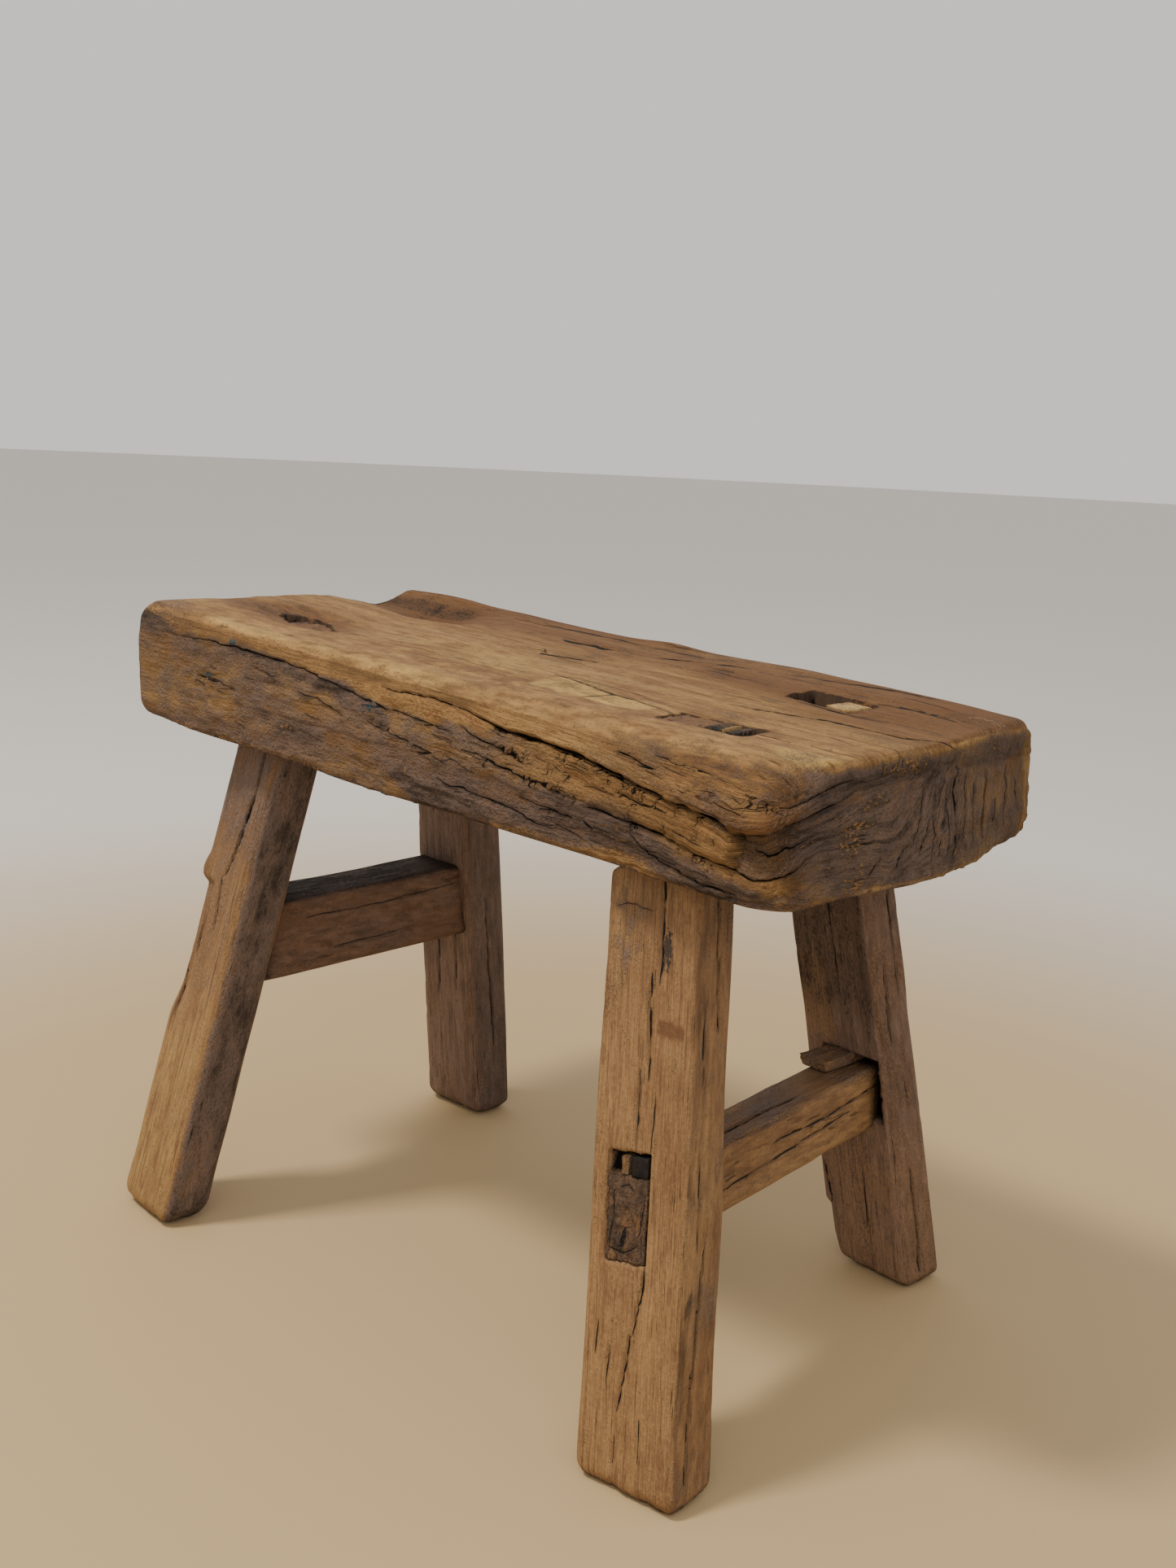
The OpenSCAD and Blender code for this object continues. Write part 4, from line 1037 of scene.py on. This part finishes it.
def rail_shaft(start, end, width, height, seed, dust, lines):
    """A rail: a rounded rectangle carried along the line between two joints, with its ends inside the legs.

    dust is the share of grime on its top and of rust on its right.
    lines are its splits: face, line, half width, depth.
    """
    a, b = np.array(start), np.array(end)
    run = np.linalg.norm(b - a)
    forward = (b - a) / run
    side = np.cross(forward, [0, 0, 1])
    side /= np.linalg.norm(side)
    up = np.cross(side, forward)
    core_x, core_y, n_x, n_y = rounded_ring(wide_steps=22, deep_steps=28, arc_steps=6)
    inset = LEG_D / 2 - RAIL_INTO
    share, t = bar_rows(np.linspace(inset, run - inset, 130), np.array([0.3, 0.65]))
    edge = RAIL_EDGE + 0.8 * noise(t / 18, 0.5, 0.5, seed)
    x = (core_x * (width / 2 - edge) + n_x * edge) * share
    z = (core_y * (height / 2 - edge) + n_y * edge) * share
    p = bar_points(x, z, t, n_x, n_y, share)
    splits = bar_splits(p, lines, 0.4, seed + 300)
    move = bar_relief(p, seed, swell=0.6, swell_size=(35, 20), ridge_long=40, nick=1.6, nick_long=9,
                      nick_from=0.3)
    move = (move - splits.cut) * p.skin
    fx = p.x + p.n_x * move
    fz = p.y + p.n_y * move
    ft, right, up_side = p.along, np.maximum(p.n_x, 0), np.maximum(p.n_y, 0)
    world = a + forward * ft[:, None] + side * fx[:, None] + up * fz[:, None]
    patch = layered(ft / 25, fx / 12, fz / 12, seed + 4, 3)
    close = np.exp(-np.minimum(ft - inset - RAIL_INTO, run - inset - RAIL_INTO - ft) / 5)
    worn = 0.45 * p.corner + 0.25 * patch + 0.2 * right
    grey = 0.4 * up_side + 0.3 * patch
    # darker near the ends, where the rail goes into the legs, and dust on its top
    finish = shares(worn, grey, 0.6 * close + dust * up_side)
    stain = shares(0 * fx, 0.7 * dust * right, 0 * fx)
    grain = np.stack([ft + 210 * seed, fx, fz + 0.1 * ft], -1)
    return tube_lot(x.shape, points=world, grain=grain, split=splits.field(), finish=finish, stain=stain)


# Shader groups and materials

class Graph:
    """Short hand for a node tree: adds nodes, and sets or links their sockets by name or place."""

    def __init__(self, tree):
        self.tree = tree

    def add(self, kind, sockets=None, **settings):
        """A new node with its settings made and its input sockets set or linked."""
        node = self.tree.nodes.new(kind)
        for key, value in settings.items():
            setattr(node, key, value)
        for key, value in (sockets or {}).items():
            self.feed(node.inputs[key], value)
        return node

    def feed(self, socket, value):
        """Links an output into a socket, or sets the socket to a plain value."""
        if isinstance(value, bpy.types.NodeSocket):
            self.tree.links.new(value, socket)
        else:
            socket.default_value = value

    def math(self, operation, a, b=0.0, clamp=False):
        """One operation on two values or sockets."""
        return self.add("ShaderNodeMath", {0: a, 1: b}, operation=operation, use_clamp=clamp).outputs[0]

    def plus(self, a, b):
        """Sum of two values or sockets."""
        return self.math("ADD", a, b)

    def times(self, a, b):
        """Product of two values or sockets."""
        return self.math("MULTIPLY", a, b)

    def blend(self, a, b, share, mode="MIX"):
        """One colour laid over another by a share."""
        return self.add("ShaderNodeMix", {0: share, 6: a, 7: b}, data_type="RGBA", blend_type=mode).outputs[2]

    def step(self, value, low, high, start=0.0, stop=1.0):
        """Smooth step from start at low to stop at high."""
        sockets = {0: value, 1: low, 2: high, 3: start, 4: stop}
        return self.add("ShaderNodeMapRange", sockets, interpolation_type="SMOOTHSTEP").outputs[0]

    def stretched_noise(self, vector, cell, detail, rough):
        """Noise whose cells have the given size in mm along each axis."""
        scale = tuple(1.0 / c for c in cell)
        spread = self.add("ShaderNodeVectorMath", {0: vector, 1: scale}, operation="MULTIPLY").outputs[0]
        sockets = {"Vector": spread, "Scale": 1.0, "Detail": detail, "Roughness": rough}
        return self.add("ShaderNodeTexNoise", sockets).outputs[0]

    def attribute(self, name):
        """One of the piece's own vector attributes."""
        return self.add("ShaderNodeAttribute", attribute_name=name).outputs["Vector"]


def new_group(name, inputs, outputs):
    """An empty shader group with named sockets; gives its graph, its inputs and its output node."""
    tree = bpy.data.node_groups.new(name, "ShaderNodeTree")
    for key, kind in inputs:
        tree.interface.new_socket(key, in_out="INPUT", socket_type=kind)
    for key, kind in outputs:
        tree.interface.new_socket(key, in_out="OUTPUT", socket_type=kind)
    graph = Graph(tree)
    return graph, graph.add("NodeGroupInput").outputs, graph.add("NodeGroupOutput").inputs


FLOAT, VECTOR, COLOUR = "NodeSocketFloat", "NodeSocketVector", "NodeSocketColor"
FIGURE_PARTS = ("Band", "Streak", "Fibre", "Crumb", "Crust", "Check")
# painted shade deep inside a split
SPLIT_SHADE_TONE = (0.007, 0.005, 0.004, 1.0)


def elm_figure():
    """Figure of the wood along its own axes: broad bands, streaks, fibres, crumbs, crust and fine checks."""
    graph, given, out = new_group("elm_figure", [("Grain", VECTOR)], [(n, FLOAT) for n in FIGURE_PARTS])
    grain = given["Grain"]
    found = {
        "Band": graph.stretched_noise(grain, (120.0, 8.0, 30.0), 2.0, 0.5),
        "Streak": graph.stretched_noise(grain, (48.0, 1.5, 14.0), 4.0, 0.62),
        "Fibre": graph.stretched_noise(grain, (11.0, 0.38, 2.6), 2.0, 0.55),
        "Crumb": graph.stretched_noise(grain, (1.5, 0.9, 0.9), 3.0, 0.65),
        "Crust": graph.stretched_noise(grain, (11.0, 4.5, 6.0), 5.0, 0.66),
    }
    dash = graph.step(graph.stretched_noise(grain, (14.0, 0.34, 2.6), 1.0, 0.5), 0.25, 0.35, 1.0, 0.0)
    there = graph.step(graph.stretched_noise(grain, (45.0, 6.0, 20.0), 1.0, 0.5), 0.45, 0.62)
    found["Check"] = graph.times(dash, there)
    for name, value in found.items():
        graph.feed(out[name], value)
    return graph.tree


def open_split():
    """Mask of the painted shade in an open split, from its signed distance and half width, with ragged edges
    and a dim rim.
    """
    graph, given, out = new_group("open_split", [("Split", VECTOR), ("Crumb", FLOAT)],
                                  [("Mask", FLOAT), ("Rim", FLOAT)])
    parts = graph.add("ShaderNodeSeparateXYZ", {0: given["Split"]}).outputs
    ragged = graph.times(graph.math("SUBTRACT", given["Crumb"], 0.5), 0.18)
    away = graph.math("ABSOLUTE", graph.plus(parts[0], ragged))
    inside = graph.math("SUBTRACT", parts[1], away)
    real = graph.step(parts[1], 0.02, 0.09)
    mask = graph.times(graph.step(inside, -0.09, 0.09), real)
    graph.feed(out["Mask"], mask)
    graph.feed(out["Rim"], graph.times(graph.step(inside, -1.4, 0.0), real))
    return graph.tree


def weathered_surface():
    """Old wood: streaked ground, grey weathering, golden rubbed wood, grime with painted shade, and the
    painted shade of splits and fine checks, one over another.
    """
    floats = FIGURE_PARTS + ("Worn", "Grey", "GrimeAndShade", "Split", "Rim", "Bleach", "Rust", "Paint")
    colours = ("Pale", "Deep", "Gold", "Ash", "SootAndShade", "Bleached", "Rusted", "Daub")
    graph, given, out = new_group(
        "weathered_surface", [(n, FLOAT) for n in floats] + [(n, COLOUR) for n in colours],
        [("Colour", COLOUR), ("Roughness", FLOAT), ("Height", FLOAT)])
    blend, step, plus, times = graph.blend, graph.step, graph.plus, graph.times

    def shaded(mask, *parts):
        """A mask with weighted noises added, each counted from its middle."""
        total = mask
        for value, weight in parts:
            part = times(graph.math("SUBTRACT", value, 0.5), weight)
            total = plus(total, part)
        return total

    band, streak, fibre, crumb, crust, check = [given[n] for n in FIGURE_PARTS]
    ground = shaded(0.5, (streak, 0.8), (band, 1.1), (fibre, 0.5), (crust, 1.5), (crumb, 0.6))
    colour = blend(given["Deep"], given["Pale"], step(ground, 0.12, 0.88))
    bleach = step(shaded(given["Bleach"], (streak, 0.9), (crust, 0.8)), 0.25, 0.8)
    colour = blend(colour, given["Bleached"], times(bleach, 0.6))
    rust = step(shaded(given["Rust"], (streak, 1.1), (crust, 0.9)), 0.12, 0.8)
    colour = blend(colour, given["Rusted"], times(rust, 0.82))
    grey_mask = step(shaded(given["Grey"], (streak, 0.4), (crust, 1.5), (crumb, 1.2)), 0.12, 0.92)
    burnt = step(shaded(given["Grey"], (streak, 1.1), (crust, 1.2), (crumb, 1.0)), 0.6, 1.2)
    colour = blend(colour, blend(given["Ash"], given["SootAndShade"], burnt), grey_mask)
    worn_mask = step(shaded(given["Worn"], (crumb, 2.4), (crust, 1.2), (streak, 0.6)), 0.4, 0.8)
    colour = blend(colour, given["Gold"], times(worn_mask, 0.85))
    clear = step(grey_mask, 0.0, 1.0, 1.0, 0.4)
    line = times(step(streak, 0.30, 0.44, -0.32, 0.0), clear)
    fine = times(graph.math("SUBTRACT", fibre, 0.5), clear)
    tone = plus(fine, 1.03)
    crumbly = graph.math("MAXIMUM", grey_mask, times(worn_mask, 0.7))
    pit = times(step(crumb, 0.32, 0.46, -0.55, 0.0), crumbly)
    tone = plus(plus(shaded(tone, (crumb, 0.45)), line), pit)
    grey_tone = graph.add("ShaderNodeCombineColor", {0: tone, 1: tone, 2: tone}).outputs[0]
    colour = blend(colour, grey_tone, 1.0, "MULTIPLY")
    paint = step(shaded(given["Paint"], (crumb, 2.2), (crust, 0.6)), 0.42, 0.62)
    colour = blend(colour, given["Daub"], times(paint, 0.92))
    grime = step(shaded(given["GrimeAndShade"], (crumb, 0.9), (streak, 0.6), (crust, 0.8)), 0.3, 0.95)
    colour = blend(colour, given["SootAndShade"], times(grime, 0.88))
    # painted shade: splits and fine checks darkened to near black
    dashes = times(check, step(grey_mask, 0.0, 1.0, 0.6, 0.9))
    shade = graph.math("MAXIMUM", given["Split"], dashes)
    colour = blend(colour, given["SootAndShade"], times(given["Rim"], 0.25))
    colour = blend(colour, SPLIT_SHADE_TONE, shade)
    graph.feed(out["Colour"], colour)
    rough = shaded(0.62, (crumb, 0.3), (fibre, 0.2))
    rough = plus(rough, times(grey_mask, 0.16))
    graph.feed(out["Roughness"], graph.math("ADD", rough, times(grime, 0.1), True))
    height = times(plus(times(streak, 0.32), times(fibre, 0.16)), clear)
    uneven = plus(times(grey_mask, 0.45), 0.32)
    height = plus(height, times(crumb, uneven))
    lumpy = plus(uneven, times(grey_mask, 0.8))
    height = plus(height, times(crust, lumpy))
    height = graph.math("SUBTRACT", height, times(shade, 0.8))
    graph.feed(out["Height"], height)
    return graph.tree


FIGURE = elm_figure()
SPLIT = open_split()
SURFACE = weathered_surface()


def old_wood(name, tones, relief, shine):
    """A material of old wood: the shared groups fed from the piece's own attributes into one shader."""
    material = bpy.data.materials.new(name)
    material.use_nodes = True
    graph = Graph(material.node_tree)
    shader = material.node_tree.nodes["Principled BSDF"]
    figure = graph.add("ShaderNodeGroup", {"Grain": graph.attribute("grain")}, node_tree=FIGURE).outputs
    sockets = {"Split": graph.attribute("split"), "Crumb": figure["Crumb"]}
    split = graph.add("ShaderNodeGroup", sockets, node_tree=SPLIT).outputs
    sockets = {key: figure[key] for key in FIGURE_PARTS}
    sockets.update(Split=split["Mask"], Rim=split["Rim"])
    for layer, keys in (("finish", ("Worn", "Grey", "GrimeAndShade")), ("stain", ("Bleach", "Rust", "Paint"))):
        parts = graph.add("ShaderNodeSeparateXYZ", {0: graph.attribute(layer)}).outputs
        sockets.update(zip(keys, parts))
    sockets.update({key: (*tone, 1.0) for key, tone in tones.items()})
    surface = graph.add("ShaderNodeGroup", sockets, node_tree=SURFACE).outputs
    sockets = {"Strength": 1.0, "Distance": MM * relief, "Height": surface["Height"]}
    dents = graph.add("ShaderNodeBump", sockets).outputs["Normal"]
    ends = {"Base Color": surface["Colour"], "Roughness": surface["Roughness"], "Normal": dents,
            "Specular IOR Level": shine}
    for key, value in ends.items():
        graph.feed(shader.inputs[key], value)
    return material


# the soot tone darkens grime, burnt wood and the rims of splits, and is also the painted shade under the lip
# and on the broken strip's end
SHARED_TONES = dict(SootAndShade=(0.032, 0.021, 0.015), Bleached=(0.42, 0.275, 0.088), Rusted=(0.110, 0.049, 0.0200),
                    Daub=(0.030, 0.022, 0.018))
# each wood: its own tones, the height of its relief in mm, its shine
WOODS = {
    "seat_elm": (dict(Pale=(0.300, 0.178, 0.068), Deep=(0.155, 0.077, 0.029), Gold=(0.30, 0.163, 0.062),
                      Ash=(0.158, 0.110, 0.090), Daub=(0.045, 0.075, 0.085)), 1.5, 0.1),
    "leg_elm": (dict(Pale=(0.285, 0.163, 0.068), Deep=(0.172, 0.088, 0.038), Gold=(0.29, 0.160, 0.064),
                     Ash=(0.195, 0.138, 0.112)), 1.0, 0.25),
    "dark_elm": (dict(Pale=(0.210, 0.138, 0.102), Deep=(0.116, 0.071, 0.050), Gold=(0.22, 0.128, 0.070),
                      Ash=(0.130, 0.096, 0.079)), 1.0, 0.25),
    "pale_wedge": (dict(Pale=(0.42, 0.28, 0.115), Deep=(0.27, 0.155, 0.056), Gold=(0.40, 0.25, 0.09),
                        Ash=(0.24, 0.155, 0.085)), 1.0, 0.25),
    "black_wedge": (dict(Pale=(0.019, 0.015, 0.013), Deep=(0.009, 0.008, 0.007), Gold=(0.105, 0.066, 0.040),
                         Ash=(0.036, 0.025, 0.018), SootAndShade=(0.007, 0.006, 0.005)), 0.5, 0.1),
}
MATERIALS = {name: old_wood(name, {**SHARED_TONES, **own}, relief, shine)
             for name, (own, relief, shine) in WOODS.items()}


def place(name, slot, lot):
    """One finished piece: its mesh, its material, the body it rides on and the node it stands for."""
    points, faces = lot.pop("points"), lot.pop("faces")
    piece = make_piece("look_" + name, points, faces, **lot)
    piece.data.materials.append(MATERIALS[slot])
    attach(piece, "root")
    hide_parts(name)
    return piece


# The pieces

place("seat_plank", "seat_elm", seat_plank())

for number, (name, leg) in enumerate(LEGS.items()):
    outer = leg["side"][0] * TENON_OUT
    stub = seat_joint_block(leg, outer - TENON_W / 2, outer + TENON_W / 2, leg["sink"], 400 + number,
                            rough=0.5, worn=0.1, grey=0.0, grime=0.34, rust=1.4)
    place(name, leg["slot"], join_parts([leg_shaft(name, 50 + 13 * number), stub]))


# wedges in the seat: name, leg, material, start and end past the tenon's outer face, how far the wedge
# ends below the seat's top, looks
SEAT_WEDGES = [
    ("wedge_front_left", "leg_front_left", "dark_elm", (0.2, 8.0), 2.4, dict(grime=0.5, rust=0.7)),
    ("wedge_rear_left", "leg_rear_left", "dark_elm", (0.2, 9.0), 7.5, dict(grime=0.5)),
    ("wedge_rear_right", "leg_rear_right", "pale_wedge", (-1.0, 10.0), -0.8,
     dict(grime=0.2, worn=0.4, grey=0.15)),
    ("wedge_front_right_inner", "leg_front_right", "black_wedge", (0.4, 6.2), 0.2,
     dict(deep=0.6, drop=-0.3, worn=0.7)),
    ("wedge_front_right_slip", "leg_front_right", "pale_wedge", (6.5, 7.3), -0.2, dict(deep=0.8, grime=0.1)),
    ("wedge_front_right_outer", "leg_front_right", "black_wedge", (7.6, 12.6), 0.3,
     dict(deep=0.6, drop=0.3, worn=0.7)),
]
for number, (name, leg_name, slot, past_face, sink, looks) in enumerate(SEAT_WEDGES):
    leg = LEGS[leg_name]
    side = leg["side"][0]
    face = side * (TENON_OUT + TENON_W / 2)
    ends = sorted(face + side * past for past in past_face)
    place(name, slot, seat_joint_block(leg, *ends, sink, 420 + number, **looks))

FRONT_RIGHT = LEGS["leg_front_right"]
REAR_RIGHT = LEGS["leg_rear_right"]
FACE = LEG_D / 2


def joint_on(name, height, shift=0.0):
    """World place on a leg's axis at a height, or shifted across the leg."""
    x, y, z = leg_place(LEGS[name], np.array(shift), np.array(0.0), np.array(height))
    return float(x), float(y), float(z)


LEFT_RAIL_SPLITS = [
    ("right", [(20, 8.0), (70, 7.0), (120, 9.0)], 0.12, 0.4),
    ("right", [(40, -8.0), (90, -7.0)], 0.10, 0.3),
]
LEFT_RAIL_UP = 113.0
LEFT_RAIL_WIDE, LEFT_RAIL_HIGH = 26.0, 33.0
left_ends = joint_on("leg_front_left", LEFT_RAIL_UP), joint_on("leg_rear_left", LEFT_RAIL_UP)
left_rail = rail_shaft(*left_ends, LEFT_RAIL_WIDE, LEFT_RAIL_HIGH, 500, dust=0.78, lines=LEFT_RAIL_SPLITS)
place("stretcher_left", "dark_elm", left_rail)

RIGHT_RAIL_SPLITS = [
    ("right", [(60, 4.5), (100, 2.5), (150, 5.0)], 0.3, 1.0),
    ("right", [(20, -4.0), (80, -2.0), (120, 0.0)], 0.3, 1.0),
    ("top", [(30, 2.0), (90, 4.0)], 0.25, 0.8),
]
RIGHT_RAIL_FRONT_UP, RIGHT_RAIL_REAR_UP = 83.5, 81.5
RIGHT_RAIL_ASIDE = -4.0
RIGHT_RAIL_WIDE, RIGHT_RAIL_HIGH = 20.0, 25.5
right_ends = (joint_on("leg_front_right", RIGHT_RAIL_FRONT_UP, RIGHT_RAIL_ASIDE),
              joint_on("leg_rear_right", RIGHT_RAIL_REAR_UP))
right_rail = rail_shaft(*right_ends, RIGHT_RAIL_WIDE, RIGHT_RAIL_HIGH, 540, dust=0.05,
                        lines=RIGHT_RAIL_SPLITS)
# cracks on the right rail's front end: the way each runs, its line, its half width
END_CRACKS = [
    ("across", [(-7.0, -9.0), (-4.7, -9.7), (-0.8, -10.6), (2.3, -9.0), (5.4, -6.6)], 0.3),
    ("up", [(-8.6, -1.4), (-5.0, -0.8), (-2.0, -0.7)], 0.75),
    ("up", [(-5.0, 4.8), (-0.3, 5.4), (8.8, 6.6)], 0.22),
    ("up", [(-9.0, -6.4), (0.0, -5.2), (9.0, -5.6)], 0.2),
    ("across", [(-3.4, 9.6), (0.0, 10.4), (3.0, 8.6)], 0.2),
]
# rise of the right rail's front end per millimetre across, and how deep the small blocks go into a leg
RAIL_TILT = 0.14
KEY_DEEP = 9.0
front_end = face_block(FRONT_RIGHT, across=(-11.6, 4.9), heights=(68.4, 95.2),
                       depths=(-FACE - 0.4, -FACE + KEY_DEEP), seed=560, rise=RAIL_TILT, edge=0.8, rough=0.6,
                       worn=0.3, grey=0.4, grime=0.66, rust=0.5, cracks=END_CRACKS)
rear_end = face_block(REAR_RIGHT, across=(-6.6, 6.6), heights=(70.0, 92.0),
                      depths=(FACE - KEY_DEEP, FACE - 0.5), seed=561, edge=1.2, rough=0.8,
                      worn=0.35, grey=0.45, grime=0.4)
place("stretcher_right", "leg_elm", join_parts([right_rail, front_end, rear_end]))
key_depths = (-FACE - 0.1, -FACE + KEY_DEEP)
key = face_block(FRONT_RIGHT, across=(-3.0, 4.2), heights=(94.8, 101.6), depths=key_depths, seed=562,
                 rise=RAIL_TILT, grime=0.2, worn=0.0, grey=0.0)
place("key_front_right", "black_wedge", key)
key_slip = face_block(FRONT_RIGHT, across=(-6.8, -3.2), heights=(94.2, 100.6), depths=key_depths, seed=563,
                      rise=RAIL_TILT, grime=0.5, grey=0.4, rust=0.8)
place("key_slip_front_right", "pale_wedge", key_slip)
shim = face_block(REAR_RIGHT, across=(-6.5, 6.0), heights=(94.6, 99.6), depths=(-FACE - 18.0, -FACE + 8.0),
                  seed=564, rough=0.6, grey=0.5)
place("shim_rear_right", "leg_elm", shim)

# Stage, light and camera

FLOOR_ROUGHNESS = 0.75
FLOOR_TONE = (0.48, 0.345, 0.18, 1.0)
FAR_TONE = (0.66, 0.63, 0.59, 1.0)
WALL_TONE = (0.84, 0.81, 0.775, 1.0)


def pale_floor():
    """A plain floor: one wide round sheet that turns into the wall's tone far from the stool."""
    reach, sides = 12000.0, 96
    angle = np.arange(sides) * 2.0 * np.pi / sides
    sheet = np.stack([reach * np.cos(angle), reach * np.sin(angle), 0.0 * angle], -1)
    piece = make_piece("floor", sheet, [range(sides)])
    material = bpy.data.materials.new("plain_floor")
    material.use_nodes = True
    graph = Graph(material.node_tree)
    shader = material.node_tree.nodes["Principled BSDF"]
    spot = graph.add("ShaderNodeTexCoord").outputs["Object"]
    away = graph.add("ShaderNodeVectorMath", {0: spot}, operation="LENGTH").outputs["Value"]
    tone = graph.blend(FLOOR_TONE, FAR_TONE, graph.step(away, 0.28, 0.9))
    graph.feed(shader.inputs["Base Color"], tone)
    graph.feed(shader.inputs["Roughness"], FLOOR_ROUGHNESS)
    piece.data.materials.append(material)


def soft_lamp(name, place_mm, aim_mm, size, power, tint):
    """A square soft lamp at a place, turned toward a point; its -Z axis looks along the light."""
    data = bpy.data.lights.new(name, "AREA")
    data.size = size * MM
    data.energy = power
    data.color = tint
    lamp = bpy.data.objects.new(name, data)
    lamp.location = Vector(place_mm) * MM
    lamp.rotation_euler = (Vector(aim_mm) - Vector(place_mm)).to_track_quat("-Z", "Y").to_euler()
    bpy.context.scene.collection.objects.link(lamp)


def photo_camera():
    """Camera by its place, heading, downward tilt and roll; the picture's long side takes the sensor."""
    place_mm = Vector((451.8, -462.0, 325.8))
    heading, tilt, roll = [math.radians(a) for a in (-42.84, 11.76, 2.74)]
    sensor, picture_high, focal_px = 36.0, 1927.0, 2099.0
    flat = math.cos(tilt)
    forward = Vector((math.sin(heading) * flat, math.cos(heading) * flat, -math.sin(tilt)))
    level = Vector((math.cos(heading), -math.sin(heading), 0.0))
    up = level.cross(forward)
    right = math.cos(roll) * level + math.sin(roll) * up
    above = -math.sin(roll) * level + math.cos(roll) * up
    data = bpy.data.cameras.new("camera")
    data.sensor_width = sensor
    data.lens = sensor * focal_px / picture_high
    data.clip_start = 0.01
    camera = bpy.data.objects.new("camera", data)
    turn = Matrix((right, above, -forward)).transposed().to_4x4()
    camera.matrix_world = Matrix.Translation(place_mm * MM) @ turn
    bpy.context.scene.collection.objects.link(camera)
    bpy.context.scene.camera = camera


pale_floor()
LAMP_AIM = (0.0, 0.0, 150.0)
soft_lamp("key", (-550.0, -850.0, 1950.0), LAMP_AIM, size=320.0, power=34.0, tint=(1.0, 0.93, 0.82))
soft_lamp("fill", (900.0, -900.0, 900.0), LAMP_AIM, size=900.0, power=4.5, tint=(1.0, 0.95, 0.88))
studio = bpy.data.worlds.new("studio")
studio.use_nodes = True
backdrop = studio.node_tree.nodes["Background"].inputs
backdrop["Color"].default_value = WALL_TONE
backdrop["Strength"].default_value = 1.0
bpy.context.scene.world = studio
photo_camera()
